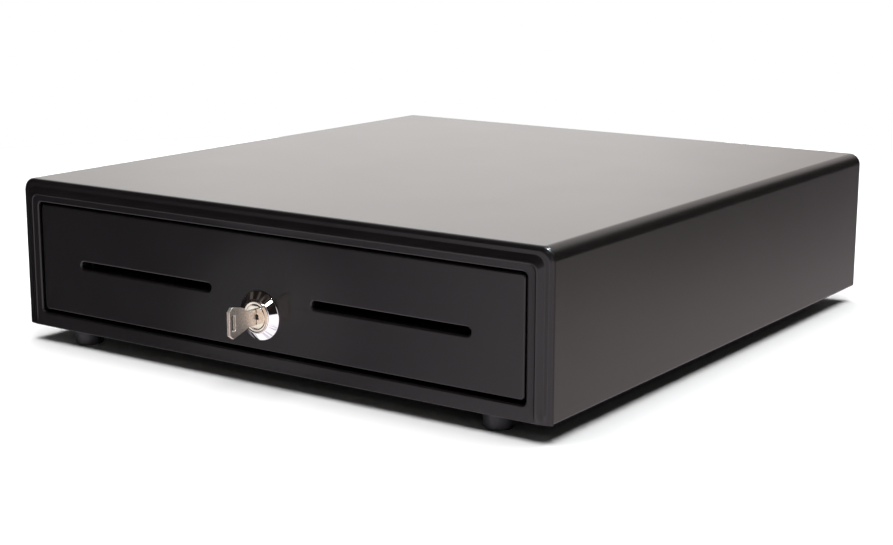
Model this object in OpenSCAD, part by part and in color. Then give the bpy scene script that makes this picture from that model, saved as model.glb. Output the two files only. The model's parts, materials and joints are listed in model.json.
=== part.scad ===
// Cash drawer: a steel case on four rubber feet, a moulded bezel, and a drawer on ball slides
// that carries a key lock, a bill and coin till, and the striker for a solenoid latch at the back.
// X is the width, +Y runs from the front to the back, +Z is up. Millimetres.
// The origin is on the ground, at the centre of the whole object's box with the key in the lock.

/* [Case] */
// Outside width of the case
case_w = 410; // [400:1:420]
// Depth from the drawer's face to the back edge of the cover
case_d = 430; // [424:1:450]
// Height of the case without its feet
case_h = 98.5; // [98:0.5:104]
// Thickness of the case's steel sheet
sheet_t = 1.2; // [1:0.1:1.5]
// Outside radius of the cover's two long bends
bend_r = 8; // [6:0.5:9]
// Width of the flanges folded in under the cover
flange_w = 14; // [12:1:16]

/* [Feet] */
// Height of the case's underside above the ground
foot_h = 11; // [9:0.5:14]
// Radius of a foot where it meets the base
foot_r = 9.9; // [8:0.1:11]
// Distance from the centre line to a foot
foot_x = 162.8; // [150:0.2:168]
// Distance from the drawer's face to the front feet
foot_y = 14.3; // [14:0.1:18]

/* [Bezel] */
// Width of the opening for the drawer
opening_w = 379.2; // [378:0.2:380]
// Height of the opening's lower edge above the case's underside
opening_z = 9.4; // [9:0.1:10]
// Height of the opening
opening_h = 74.6; // [74:0.1:75]
// Corner radius of the opening
opening_r = 3; // [2:0.1:4]
// How far the inner frame stands proud of the drawer's face
frame_proud = 1.1; // [0.5:0.1:2]
// Width of the lower rim round the inner frame
rim_w = 7.4; // [6:0.1:9]

/* [Drawer] */
// Gap between the drawer front and the opening, at the sides
front_gap = 1.3; // [1:0.1:1.6]
// Wall thickness of the moulded drawer front
front_t = 2.5; // [2:0.1:3]
// Length of a media slot
slot_l = 112.5; // [100:0.5:116]
// Height of a media slot
slot_h = 5; // [4.6:0.1:5.4]
// Distance from the centre line to the middle of a media slot
slot_x = 96.2; // [92:0.2:98]
// Height of the media slots above the case's underside
slot_z = 45.3; // [45:0.1:46]
// Depth of the steel tray behind the drawer front
tray_d = 362; // [350:1:362]
// How far the drawer opens; the till ends just short of this, so that it lifts out clear of the bezel
travel = 300; // [285:1:300]

/* [Lock] */
// Height of the lock's axis above the case's underside
lock_z = 33.4; // [32:0.1:34]
// Radius of the lock plug
plug_r = 7.5; // [7:0.1:7.6]
// How far the key's bow reaches in front of the drawer's face
key_reach = 28.5; // [26:0.5:32]
// Thickness of the key
key_t = 2.4; // [2:0.1:2.6]

/* [Till] */
// Depth of the coin section, from the front of the till
coin_d = 114; // [100:1:118]
// Thickness of a bill divider
divider_t = 1.6; // [1.2:0.1:2]

/* [Hidden] */

// Colours
painted = "#262425";
moulded = "#1e1d1e";
rubber = "#2b2a2b";
zinc = "#b9bcbe";
chrome = "#d8dadc";
nickel = "#cfc6b4";
till_grey = "#2f3033";
copper = "#a5552a";
green = "#1f5a3a";

// Fits
slack = 0.1;          // between sheets that lie side by side
run_gap = 0.05;       // radial, between a pin and its bore

// Where the drawer's face and the case's underside lie in the model's frame
face_y = (key_reach - case_d) / 2;

// Case
inner_x = case_w / 2 - sheet_t;
floor_z = 2 * sheet_t;
cover_y = 3.2;
panel_y = case_d - 3;
base_x = inner_x - slack;
screw_x = case_w / 2 - 8.5;
hold_x = 140;
hold_y = [70, case_d - 70];

// Bezel and drawer front
bezel_back = 14;
front_w = opening_w - 2 * front_gap;
front_z = opening_z + 2.3;
front_h = opening_h - 3.6;
front_d = 10;

// Tray and slides, all measured from the drawer's face and the case's underside
tray_t = 1;
tray_x = opening_w / 2 - 15.1;
tray_z = 12.5;
tray_top = 80;
tray_back = front_d + tray_d;
rail_y = 18;
rail_l = tray_back - rail_y + 6;
rail_z = 42;
rail_h = 36;
rail_t = 1.2;
rail_x = tray_x + 13.1;
inner_h = 24;
ball_r = 2.35;
ball_x = tray_x + 6.9;
ball_z = rail_h / 2 - rail_t - run_gap - ball_r;
cage_l = 190;
cage_y = 170;
cage_t = 0.8;

// Till
till_columns = 5;
till_x = tray_x - 3;
till_y = 15;
till_back = travel - 3;
till_z = 47.5;
till_top = 80.5;
wall_t = 2;
cross_y = till_y + coin_d;
divider_top = 76;
column_w = (2 * (till_x - wall_t) + divider_t) / till_columns;
rod_y = till_back - 9;
rod_z = 78.2;
rod_r = 1.75;

// Lock and key
barrel_r = 9.5;
lock_front = -4.6;
plug_front = -4.9;
plug_back = 27;
keyway_w = key_t + 0.4;
blade_h = 7;
cam_reach = 27;

// Latch: the lever turns about latch_pivot and is drawn shut, then swung back by latch_swing
latch_x = -8;
latch_y = tray_back + 42;
latch_z = 24;
latch_t = 3;
latch_swing = 15;
strike_y = tray_back + 12;
link = [-2, -18];
plunger_y = latch_y - 17.4;
plunger_z = 30;

// Switch and kicker
switch_x = 90;
switch_y = tray_back + 8;
switch_z = 30;
kick_x = -120;
kick_z = 30;
flange_d = 10;
kick_back = panel_y - flange_d - 1.9;

// Wiring: both leads leave the header on the board
lead_r = 1.5;
solenoid_route = [
    [99.6, 400, 19.5], [95, 400.6, 19.2], [89, 404, 17], [83, 410, 13], [76, 417, 10], [66, 422.6, 9],
    [54, 424.4, 9], [38, 424.4, 9], [20, 424.4, 9], [2, 424.4, 9], [-16, 424.4, 9], [-30, 424, 9],
    [-40, 421, 10], [-48, 416.6, 13], [-53, 412.6, 18], [-55, 410, 24], [-55, 408.4, 29]
];
switch_route = [
    [107, 399, 24], [106.8, 399, 26.5], [106, 398.8, 29], [104.6, 398, 31],
    [102.6, 396.4, 32.6], [101, 394.8, 33.2]
];

// ---------- helpers ----------

// Moves a part from the drawer's face and the case's underside to the model's frame
module placed() {
    translate([0, face_y, foot_h]) children();
}

// Outline in X and Z, thick from y0 to y1
module in_xz(y0, y1) {
    translate([0, y1, 0]) rotate([90, 0, 0]) linear_extrude(y1 - y0) children();
}

// Outline in Y and Z, thick from x0 to x1
module in_yz(x0, x1) {
    translate([x0, 0, 0]) rotate([90, 0, 90]) linear_extrude(x1 - x0) children();
}

// Outline in X and Y, thick from z0 to z1
module in_xy(z0, z1) {
    translate([0, 0, z0]) linear_extrude(z1 - z0) children();
}

// Box between two corners
module block(low, high) {
    translate(low) cube(high - low);
}

// Rod along Y, with its centre at x, z
module rod_y_axis(x, z, y0, y1, r) {
    translate([x, y1, z]) rotate([90, 0, 0]) cylinder(h = y1 - y0, r = r, $fn = 64);
}

// Rod along X, with its centre at y, z
module rod_x_axis(y, z, x0, x1, r) {
    translate([x0, y, z]) rotate([0, 90, 0]) cylinder(h = x1 - x0, r = r, $fn = 64);
}

// Upright rod
module post(x, y, z0, z1, r) {
    translate([x, y, z0]) cylinder(h = z1 - z0, r = r, $fn = 64);
}

// Rectangle with round corners, centred in x, standing on z0
module rounded(w, z0, h, r) {
    translate([-w / 2 + r, z0]) square([w - 2 * r, h]);
    translate([-w / 2, z0 + r]) square([w, h - 2 * r]);
    for (x = [-1, 1], z = [z0 + r, z0 + h - r]) {
        translate([x * (w / 2 - r), z]) circle(r = r, $fn = 64);
    }
}

// Sheet outline with square feet and two round top corners
module arch(w, z0, z1, r) {
    translate([-w / 2, z0]) square([w, z1 - z0 - r]);
    translate([-w / 2 + r, z0]) square([w - 2 * r, z1 - z0]);
    for (x = [-1, 1]) translate([x * (w / 2 - r), z1 - r]) circle(r = r, $fn = 64);
}

// Slot with round ends, lying along the first axis
module stadium(length, height) {
    square([length - height, height], center = true);
    for (x = [-1, 1]) translate([x * (length - height) / 2, 0]) circle(d = height, $fn = 48);
}

// Both sides of the case, or of the drawer
module both_sides() {
    for (s = [0, 1]) mirror([s, 0, 0]) children();
}

// Pan head screw pointing up, with a cross recess under its head
module pan_screw(length, shank_r, head_r, head_h) {
    difference() {
        union() {
            cylinder(h = length, r = shank_r, $fn = 48);
            translate([0, 0, -head_h]) cylinder(h = head_h, r = head_r, $fn = 48);
        }
        for (a = [0, 90]) rotate([0, 0, a]) {
            translate([-head_r * 0.6, -0.45, -head_h - 1]) cube([head_r * 1.2, 0.9, head_h * 0.6 + 1]);
        }
    }
}

function unit(v) = v / norm(v);

// Direction of a route at each of its points
function heading(route, i) =
    unit(route[min(i + 1, len(route) - 1)] - route[max(i - 1, 0)]);

// Ring of points round a route's point
function ring(route, i, r, sides) =
    let (t = heading(route, i), a = unit(cross(t, [0.35, 0.8, 0.1])), b = cross(t, a))
    [for (k = [0:sides - 1]) route[i] + r * (cos(360 * k / sides) * a + sin(360 * k / sides) * b)];

// Tube of a given radius along a route
module tube_along(route, r, sides = 8) {
    n = len(route);
    rings = [for (i = [0:n - 1]) each ring(route, i, r, sides)];
    walls = [for (i = [0:n - 2], k = [0:sides - 1])
        let (k2 = (k + 1) % sides)
        [i * sides + k, i * sides + k2, (i + 1) * sides + k2, (i + 1) * sides + k]];
    ends = [[for (k = [sides - 1:-1:0]) k], [for (k = [0:sides - 1]) (n - 1) * sides + k]];
    polyhedron(points = rings, faces = concat(walls, ends), convexity = 4);
}

// ---------- case ----------

cover_screw_y = [40, case_d / 2, case_d - 40];
bezel_screw_x = [60, 130];
rear_screw_x = [-100, 0, 100];

// Wrapped sheet: top, two sides, and a flange folded in under each side
module case_cover() {
    color(painted) placed() difference() {
        union() {
            in_xz(cover_y, case_d) difference() {
                arch(case_w, 0, case_h, bend_r);
                arch(2 * inner_x, -1, case_h - sheet_t, bend_r - sheet_t);
            }
            both_sides() block([inner_x - flange_w, cover_y, 0], [inner_x + sheet_t / 2, case_d, sheet_t]);
        }
        both_sides() for (y = cover_screw_y) post(screw_x, y, -1, sheet_t + 1, 2.2);
    }
}

// Pressed bead across the base: a half-round sheet rib with round ends
module bead(half_l, r) {
    rotate([0, 90, 0]) cylinder(h = 2 * half_l, r = r, center = true, $fn = 64);
    for (x = [-1, 1]) translate([x * half_l, 0, 0]) sphere(r = r, $fn = 64);
}

bead_y = [0.3 * case_d, 0.7 * case_d];
bead_r = 12;
bead_rise = 3.5;

// Base pan: the floor lies on the cover's flanges and turns up along both sides
module case_base() {
    drop = bead_r - bead_rise;
    color(zinc) placed() difference() {
        union() {
            block([-base_x, 5, sheet_t], [base_x, panel_y - slack, floor_z]);
            both_sides() block([base_x - sheet_t, bezel_back + 1, sheet_t], [base_x, case_d - 18, 22]);
            for (y = bead_y) intersection() {
                translate([0, y, floor_z - drop]) bead(120, bead_r);
                block([-200, y - 20, sheet_t], [200, y + 20, 20]);
            }
        }
        for (y = bead_y) translate([0, y, floor_z - drop]) bead(120, bead_r - sheet_t);
        both_sides() {
            for (y = cover_screw_y) post(screw_x, y, 0, 10, 2.05);
            for (y = [foot_y, case_d - 30]) post(foot_x, y, 0, 10, 2.2);
            for (y = hold_y) post(hold_x, y, 0, 10, 2.75);
            for (x = bezel_screw_x) post(x, 9.5, 0, 10, 1.7);
        }
        for (x = rear_screw_x) post(x, case_d - 8, 0, 10, 2.05);
        in_xy(0, 10) translate([latch_x + 2, latch_y - 28]) stadium(22, 8);
    }
}

jack_x = 133;
jack_z = 15.6;
jack_w = 16;
jack_h = 13.4;

// Back panel: set in from the cover's back edge, with a flange folded forward all round
module rear_panel() {
    top = case_h - sheet_t - slack;
    r = bend_r - sheet_t;
    color(painted) placed() difference() {
        union() {
            in_xz(panel_y, panel_y + sheet_t) arch(2 * base_x, floor_z, top, r);
            in_xz(panel_y - flange_d, panel_y) difference() {
                arch(2 * base_x, floor_z, top, r);
                arch(2 * (base_x - sheet_t), floor_z + sheet_t, top - sheet_t, r - sheet_t);
            }
        }
        block([jack_x - jack_w / 2 - 0.3, panel_y - 1, jack_z - 0.3],
              [jack_x + jack_w / 2 + 0.3, case_d, jack_z + jack_h + 0.3]);
        for (z = [52, 60, 68]) in_xz(panel_y - 1, case_d) {
            for (x = [-64, 0, 64]) translate([x, z]) stadium(48, 3.4);
        }
        for (x = rear_screw_x) post(x, case_d - 8, floor_z - 1, floor_z + 3, 1.95);
    }
}

// Outline of the drawer opening
module opening(grow = 0) {
    rounded(opening_w + 2 * grow, opening_z - grow, opening_h + 2 * grow, opening_r + grow);
}

// Moulded frame: a low rim, a proud inner frame, and a skirt that plugs into the cover
module front_bezel() {
    top = case_h - sheet_t - slack;
    color(moulded) placed() difference() {
        union() {
            in_xz(0.4, cover_y) arch(case_w, 0, case_h, bend_r);
            in_xz(-frame_proud, 0.4) {
                arch(case_w - 2 * rim_w, 0, case_h - rim_w, 6);
                translate([-case_w / 2, 0]) square([case_w, 3]);
            }
            in_xz(cover_y, bezel_back) arch(2 * base_x, floor_z + slack / 2, top, bend_r - sheet_t);
        }
        in_xz(-5, bezel_back + 1) opening();
        in_xz(1.8, bezel_back + 1) difference() {
            arch(2 * base_x - 5, 12, top - 2.5, 4.3);
            opening(3);
        }
        both_sides() {
            for (x = bezel_screw_x) post(x, 9.5, floor_z - 1, opening_z - 1.4, 1.4);
            post(foot_x, foot_y, 0, opening_z - 1.4, 6.4);
        }
    }
}

// Screws from below: cover to base, base to bezel, and base to back panel
module case_screws() {
    color(zinc) placed() {
        both_sides() {
            for (y = cover_screw_y) translate([screw_x, y, 0]) pan_screw(6, 2, 3.6, 2);
            for (x = bezel_screw_x) translate([x, 9.5, sheet_t]) pan_screw(6, 1.35, 2.8, 1.1);
        }
        for (x = rear_screw_x) translate([x, case_d - 8, sheet_t]) pan_screw(5, 1.9, 3.2, 1.1);
    }
}

foot_back = case_d - 30;

// Round rubber foot with a rounded lower edge and a recess for its screw
module foot(x, y) {
    edge = 2;
    low_r = foot_r - 0.9;
    color(rubber) placed() translate([x, y, -foot_h]) difference() {
        rotate_extrude($fn = 96) {
            square([low_r - edge, edge]);
            translate([low_r - edge, edge]) intersection() {
                circle(r = edge, $fn = 48);
                translate([0, -edge]) square(edge);
            }
            polygon([[0, edge], [low_r, edge], [foot_r, foot_h + sheet_t], [0, foot_h + sheet_t]]);
        }
        translate([0, 0, -1]) cylinder(h = foot_h + sheet_t + 2, r = 2.2, $fn = 48);
        translate([0, 0, -1]) cylinder(h = 6.5, r = 4.6, $fn = 48);
    }
}

module foot_front_left() { foot(-foot_x, foot_y); }
module foot_front_right() { foot(foot_x, foot_y); }
module foot_rear_left() { foot(-foot_x, foot_back); }
module foot_rear_right() { foot(foot_x, foot_back); }

// Screws and hexagon nuts that hold the feet to the base
module foot_screws() {
    color(zinc) placed() both_sides() for (y = [foot_y, foot_back]) {
        translate([foot_x, y, 5.5 - foot_h]) pan_screw(foot_h + 1.5, 2, 4, 2.4);
        difference() {
            translate([foot_x, y, floor_z]) cylinder(h = 3.2, r = 4, $fn = 6);
            post(foot_x, y, floor_z - 1, floor_z + 4, 2);
        }
    }
}

// ---------- slides ----------

// Standing sheet bracket that carries the outer slide, with a stop tab at its back end
module rail_bracket() {
    web_x = rail_x + slack;
    back = rail_y + rail_l + sheet_t;
    color(zinc) placed() difference() {
        union() {
            block([web_x, 20, floor_z], [web_x + sheet_t, back, rail_z + rail_h / 2]);
            block([web_x, 20, floor_z], [base_x - sheet_t - 0.2, back, floor_z + sheet_t]);
            block([tray_x - 16, back - sheet_t, rail_z + 2], [web_x + sheet_t, back, rail_z + 16]);
        }
        for (y = rivet_y) rod_x_axis(y, rail_z, web_x - 1, web_x + 3, 1.95);
        for (y = cover_screw_y) post(screw_x, y, floor_z - 1, floor_z + 3, 2.05);
        rod_y_axis(stop_x, stop_z, back - 3, back + 1, 2);
    }
}

rivet_y = [40, rail_y + rail_l / 2, rail_y + rail_l - 22];
stop_x = tray_x - 8.5;
stop_z = rail_z + 9;

module rail_bracket_left() { mirror([1, 0, 0]) rail_bracket(); }
module rail_bracket_right() { rail_bracket(); }

// Channel open towards the drawer
module rail_outer() {
    color(zinc) placed() difference() {
        block([rail_x - 10.4, rail_y, rail_z - rail_h / 2], [rail_x, rail_y + rail_l, rail_z + rail_h / 2]);
        block([rail_x - 12, rail_y - 1, rail_z - rail_h / 2 + rail_t],
              [rail_x - rail_t, rail_y + rail_l + 1, rail_z + rail_h / 2 - rail_t]);
        for (y = rivet_y) rod_x_axis(y, rail_z, rail_x - 3, rail_x + 1, 1.95);
    }
}

module rail_outer_left() { mirror([1, 0, 0]) rail_outer(); }
module rail_outer_right() { rail_outer(); }

// Rivets between the outer slides and their brackets
module rail_rivets() {
    color(zinc) placed() both_sides() for (y = rivet_y) {
        rod_x_axis(y, rail_z, rail_x - rail_t - 0.8, rail_x - rail_t, 3.2);
        rod_x_axis(y, rail_z, rail_x - rail_t, rail_x + slack + sheet_t, 1.9);
        rod_x_axis(y, rail_z, rail_x + slack + sheet_t, rail_x + slack + sheet_t + 1, 3);
    }
}

// Rubber buttons that stop the tray
module stop_buffers() {
    back = rail_y + rail_l;
    color(rubber) placed() both_sides() {
        rod_y_axis(stop_x, stop_z, tray_back + 0.4, back, 5);
        rod_y_axis(stop_x, stop_z, back, back + sheet_t, 1.9);
        rod_y_axis(stop_x, stop_z, back + sheet_t, back + sheet_t + 1.6, 3.4);
    }
}

// Channel on the tray, open outwards
module rail_inner() {
    color(zinc) placed() difference() {
        block([tray_x + slack, rail_y, rail_z - inner_h / 2],
              [tray_x + 8.7, tray_back - 4, rail_z + inner_h / 2]);
        block([tray_x + slack + rail_t, rail_y - 1, rail_z - inner_h / 2 + rail_t],
              [tray_x + 10, tray_back, rail_z + inner_h / 2 - rail_t]);
    }
}

module rail_inner_left() { mirror([1, 0, 0]) rail_inner(); }
module rail_inner_right() { rail_inner(); }

ball_count = 8;
ball_step = (cage_l - 10) / (ball_count - 1);

// Ball retainer with its balls, between the two channels
module rail_cage() {
    color(zinc) placed() {
        difference() {
            block([ball_x - 2.9, cage_y, rail_z - ball_z - cage_t / 2],
                  [ball_x + 3.4, cage_y + cage_l, rail_z + ball_z + cage_t / 2]);
            block([ball_x - 5, cage_y - 1, rail_z - ball_z + cage_t / 2],
                  [ball_x + 2.7, cage_y + cage_l + 1, rail_z + ball_z - cage_t / 2]);
            for (i = [0:ball_count - 1]) {
                post(ball_x, cage_y + 5 + i * ball_step, rail_z - 30, rail_z + 30, ball_r + 0.05);
            }
        }
        for (i = [0:ball_count - 1], z = [rail_z - ball_z, rail_z + ball_z]) {
            translate([ball_x, cage_y + 5 + i * ball_step, z]) sphere(r = ball_r, $fn = 48);
        }
    }
}

module rail_cage_left() { mirror([1, 0, 0]) rail_cage(); }
module rail_cage_right() { rail_cage(); }

// ---------- latch, switch and wiring behind the drawer ----------

// Plate on the base that the lock's cam drops behind
module lock_catch() {
    color(zinc) placed() {
        block([-14, 15, floor_z], [14, 24, floor_z + 1.5]);
        block([-14, 22, floor_z], [14, 24, 11.5]);
    }
}

platform_z = 21.5;
spring_post_x = 16;
spring_y = latch_y - 10.6;

// Raised platform that carries the latch lever's pivot and its spring's post
module latch_bracket() {
    y0 = tray_back + 20;
    y1 = panel_y - flange_d - 0.4;
    color(zinc) placed() difference() {
        union() {
            block([-30, y0, platform_z - 1.5], [20, y1 + 5, platform_z]);
            for (x = [-30, 18.5]) block([x, y0, floor_z], [x + 1.5, y1, platform_z]);
            block([20, y0, floor_z], [32, y1, floor_z + 1.5]);
            post(spring_post_x, spring_y, platform_z - 1, 32.5, 1.5);
        }
        post(latch_x, latch_y, platform_z - 3, platform_z + 1, 3);
    }
}

// Shoulder rivet that the latch lever turns on
module latch_pivot_pin() {
    color(chrome) placed() translate([latch_x, latch_y, 0]) {
        post(0, 0, platform_z - 2.5, latch_z + 5.4, 2.95);
        post(0, 0, platform_z, latch_z - 0.2, 5);
        post(0, 0, latch_z + latch_t + 0.3, latch_z + latch_t + 2.4, 5);
    }
}

// Turns the lever's drawing from shut to let go
module let_go() {
    translate([latch_x, latch_y, 0]) rotate([0, 0, -latch_swing]) children();
}

// Hooked lever; its nose stands in front of the striker's pin when it is shut
module latch_lever() {
    nose_y = strike_y - 7 - latch_y;
    color(zinc) placed() let_go() {
        difference() {
            union() {
                in_xy(latch_z, latch_z + latch_t) {
                    circle(r = 6, $fn = 64);
                    polygon([
                        [-5, 0], [-4.5, nose_y + 3], [-2, nose_y], [12.5, nose_y], [12.5, nose_y + 4.2],
                        [4.6, nose_y + 4.2], [4.6, nose_y + 12], [8, -12], [8, -8], [5, 0]
                    ]);
                }
                post(link[0], link[1], latch_z + latch_t - 1, latch_z + 9, 1.5);
                post(6, -10, latch_z + latch_t - 1, latch_z + 8.5, 1.2);
            }
            post(0, 0, latch_z - 1, latch_z + latch_t + 1, 2.95 + run_gap);
        }
    }
}

// Envelope of the coil that pulls the latch lever shut
module latch_spring() {
    color(zinc) placed() difference() {
        rod_x_axis(spring_y - 0.6, latch_z + 6.2, -3, spring_post_x - 1.8, 2.6);
        rod_x_axis(spring_y - 0.6, latch_z + 6.2, -4, spring_post_x, 1.8);
    }
}

coil_x = [-74, -38];

// Folded steel frame of the solenoid, standing on the base
module solenoid_frame() {
    color(zinc) placed() difference() {
        union() {
            for (x = [coil_x[0] - 2, coil_x[1]]) {
                block([x, plunger_y - 12, floor_z], [x + 2, plunger_y + 12, 43]);
            }
            block([coil_x[0] - 2, plunger_y - 12, 15], [coil_x[1] + 2, plunger_y + 12, 17]);
            block([coil_x[0] - 12, plunger_y - 12, floor_z], [coil_x[0], plunger_y + 12, floor_z + 2]);
        }
        rod_x_axis(plunger_y, plunger_z, coil_x[1] - 1, coil_x[1] + 3, 4.4);
    }
}

// Wound coil with its bobbin's bore
module solenoid_coil() {
    color(copper) placed() difference() {
        union() {
            rod_x_axis(plunger_y, plunger_z, coil_x[0] + 0.1, coil_x[1] - 0.1, 9.5);
            for (x = [coil_x[0] + 0.1, coil_x[1] - 1.9]) {
                rod_x_axis(plunger_y, plunger_z, x, x + 1.8, 11.5);
            }
        }
        rod_x_axis(plunger_y, plunger_z, coil_x[0] - 1, coil_x[1] + 1, 4.3);
    }
}

// Soft iron plunger; its flat end has a slot for the lever's pin
module solenoid_plunger() {
    pin_x = latch_x + link[0] * cos(latch_swing) + link[1] * sin(latch_swing);
    near_y = latch_y - link[0] * sin(latch_swing) + link[1] * cos(latch_swing);
    far_y = latch_y + link[1];
    color(chrome) placed() difference() {
        union() {
            rod_x_axis(plunger_y, plunger_z, coil_x[0] + 12, pin_x - 7, 4);
            block([pin_x - 9, plunger_y - 4.5, plunger_z - 1.5],
                  [pin_x + 3.6, plunger_y + 4.5, plunger_z + 1.5]);
        }
        for (y = [near_y + 0.1, far_y - 0.1]) post(pin_x, y, plunger_z - 3, plunger_z + 3, 1.65);
        block([pin_x - 1.65, far_y - 0.1, plunger_z - 3], [pin_x + 1.65, near_y + 0.1, plunger_z + 3]);
    }
}

// Bracket with a shelf for the drawer-open switch
module switch_bracket() {
    y = switch_y + 8;
    color(zinc) placed() difference() {
        union() {
            block([switch_x - 4, y, floor_z], [switch_x + 24, y + sheet_t, switch_z]);
            block([switch_x - 4, switch_y - 1, switch_z - sheet_t], [switch_x + 24, y + sheet_t, switch_z]);
            block([switch_x - 4, y - 8, floor_z], [switch_x + 2, y + sheet_t, floor_z + sheet_t]);
        }
        for (x = [5, 15]) post(switch_x + x, switch_y + 5, switch_z - 3, switch_z + 1, 1.2);
    }
}

// Snap-action switch with its button and three terminals
module switch_body() {
    color(moulded) placed() difference() {
        union() {
            block([switch_x, switch_y, switch_z], [switch_x + 20, switch_y + 10, switch_z + 6.4]);
            block([switch_x + 7, switch_y - 1.2, switch_z + 2.2],
                  [switch_x + 9, switch_y + 1, switch_z + 4.2]);
            for (x = [switch_x + 2, switch_x + 9, switch_x + 16]) {
                block([x, switch_y + 9, switch_z + 2.9], [x + 3, switch_y + 13, switch_z + 3.5]);
            }
        }
        for (x = [5, 15]) post(switch_x + x, switch_y + 5, switch_z - 1, switch_z + 8, 1.25);
    }
}

// Two small screws through the switch and its shelf
module switch_screws() {
    color(zinc) placed() for (x = [5, 15]) translate([switch_x + x, switch_y + 5, switch_z + 6.4]) {
        rotate([180, 0, 0]) pan_screw(9.5, 1.15, 2.2, 1.4);
    }
}

// Leaf with a roller that the tray's back presses
module switch_lever() {
    roller = [switch_x + 21, tray_back + 2.6];
    low_z = switch_z + 1.2;
    high_z = switch_z + 5.2;
    leaf_y = switch_y - 2.6;
    color(zinc) placed() {
        block([switch_x + 0.5, leaf_y, low_z], [switch_x + 22, leaf_y + 0.5, high_z]);
        block([switch_x + 0.5, leaf_y, low_z], [switch_x + 1, switch_y - 0.7, high_z]);
        post(switch_x + 0.75, switch_y - 0.7, low_z, high_z, 0.6);
        for (z = [low_z, high_z - 0.5]) {
            block([roller[0] - 1.4, roller[1], z], [roller[0] + 1.4, leaf_y + 0.5, z + 0.5]);
        }
        post(roller[0], roller[1], low_z + 0.5, high_z - 0.5, 2.4);
    }
}

// Plate and guide rod of the spring that kicks the drawer open
module kick_guide() {
    y = kick_back;
    color(zinc) placed() {
        block([kick_x - 12, y, floor_z], [kick_x + 12, y + 1.5, kick_z + 14]);
        block([kick_x - 12, y - 14, floor_z], [kick_x + 12, y + 1.5, floor_z + 1.5]);
        rod_y_axis(kick_x, kick_z, tray_back + 10, y + 1, 2.5);
    }
}

// Envelope of the kicker's coil, pressed short by the shut drawer
module kick_spring() {
    color(zinc) placed() difference() {
        rod_y_axis(kick_x, kick_z, tray_back + 4.5, kick_back - 0.1, 6.6);
        rod_y_axis(kick_x, kick_z, tray_back + 4, kick_back + 1, 5);
    }
}

// Plastic cap between the kicker's coil and the tray
module kick_cap() {
    color(moulded) placed() difference() {
        union() {
            rod_y_axis(kick_x, kick_z, tray_back + 0.4, tray_back + 4.4, 8);
            rod_y_axis(kick_x, kick_z, tray_back + 4, tray_back + 16, 4.6);
        }
        rod_y_axis(kick_x, kick_z, tray_back + 6, tray_back + 20, 2.8);
    }
}

board_z = 14;
board_x = [96, 156];
board_y = [tray_back + 18, tray_back + 44];

// Printed circuit board with its header, a relay and a few parts
module interface_board() {
    top = board_z + 1.6;
    color(green) placed() difference() {
        union() {
            block([board_x[0], board_y[0], board_z], [board_x[1], board_y[1], top]);
            translate([board_x[0], board_y[0], top]) {
                block([4, 5, -0.5], [14, 13, 7]);
                block([20, 4, -0.5], [34, 11, 9]);
                for (x = [40, 46]) post(x, 8, -0.5, 8, 2.4);
            }
        }
        for (x = [board_x[0] + 4, board_x[1] - 4], y = [board_y[0] + 3, board_y[1] - 3]) {
            post(x, y, board_z - 1, top + 1, 1.2);
        }
    }
}

// Spacers and their screws under the board's corners
module board_spacers() {
    color(zinc) placed() for (x = [board_x[0] + 4, board_x[1] - 4], y = [board_y[0] + 3, board_y[1] - 3]) {
        translate([x, y, floor_z]) cylinder(h = board_z - floor_z, r = 3, $fn = 6);
        post(x, y, board_z - 0.1, board_z + 1.6, 1.15);
        post(x, y, board_z + 1.6, board_z + 2.6, 2);
    }
}

// Modular jack whose mouth shows in the back panel
module interface_jack() {
    y0 = tray_back + 34;
    y1 = panel_y + sheet_t + 0.4;
    low = [jack_x - jack_w / 2, y0, jack_z];
    color(moulded) placed() difference() {
        block(low, [jack_x + jack_w / 2, y1, jack_z + jack_h]);
        block([jack_x - 5, y1 - 15, jack_z + 3.4], [jack_x + 5, y1 + 1, jack_z + 10.4]);
        block([jack_x - 3, y1 - 15, jack_z + 1.4], [jack_x + 3, y1 + 1, jack_z + 4]);
    }
}

// Leads from the board to the solenoid and to the switch
module wiring_harness() {
    color(rubber) placed() {
        tube_along(solenoid_route, lead_r);
        tube_along(switch_route, lead_r);
    }
}

// ---------- drawer ----------

front_screws = [[165, 24], [165, 68], [60, 66]];

// Moulded drawer front with two media slots, a lock hole and bosses for its screws
module drawer_front() {
    color(moulded) placed() difference() {
        union() {
            in_xz(0, front_t) rounded(front_w, front_z, front_h, 2.7);
            in_xz(front_t - 1, front_d) difference() {
                rounded(front_w, front_z, front_h, 2.7);
                rounded(front_w - 2 * front_t, front_z + front_t, front_h - 2 * front_t, 1.2);
            }
            both_sides() {
                for (p = front_screws) rod_y_axis(p[0], p[1], front_t - 1, front_d, 4);
                in_xz(front_t - 1, front_d) translate([slot_x, slot_z]) stadium(slot_l + 3, slot_h + 3);
            }
        }
        both_sides() {
            for (p = front_screws) rod_y_axis(p[0], p[1], front_t, front_d + 1, 1.4);
            in_xz(-1, front_d + 1) translate([slot_x, slot_z]) stadium(slot_l, slot_h);
        }
        rod_y_axis(0, lock_z, -1, front_d, barrel_r + 0.1);
    }
}

// Welded steel tray
module drawer_tray() {
    y0 = front_d;
    in_x = tray_x - tray_t;
    window_x = slot_l / 2 + 4;
    window_z = 4.8;
    color(zinc) placed() difference() {
        block([-tray_x, y0, tray_z], [tray_x, tray_back, tray_top]);
        block([-in_x, y0 + tray_t, tray_z + tray_t], [in_x, tray_back - tray_t, tray_top + 1]);
        both_sides() {
            block([slot_x - window_x, y0 - 1, slot_z - window_z],
                  [slot_x + window_x, y0 + 2, slot_z + window_z]);
            for (p = front_screws) rod_y_axis(p[0], p[1], y0 - 1, y0 + 2, 1.6);
        }
        rod_y_axis(0, lock_z, y0 - 1, y0 + 2, barrel_r + 1.5);
        block([-6.5, 24, tray_z - 1], [26, 32, tray_z + 2]);
    }
}

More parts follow.
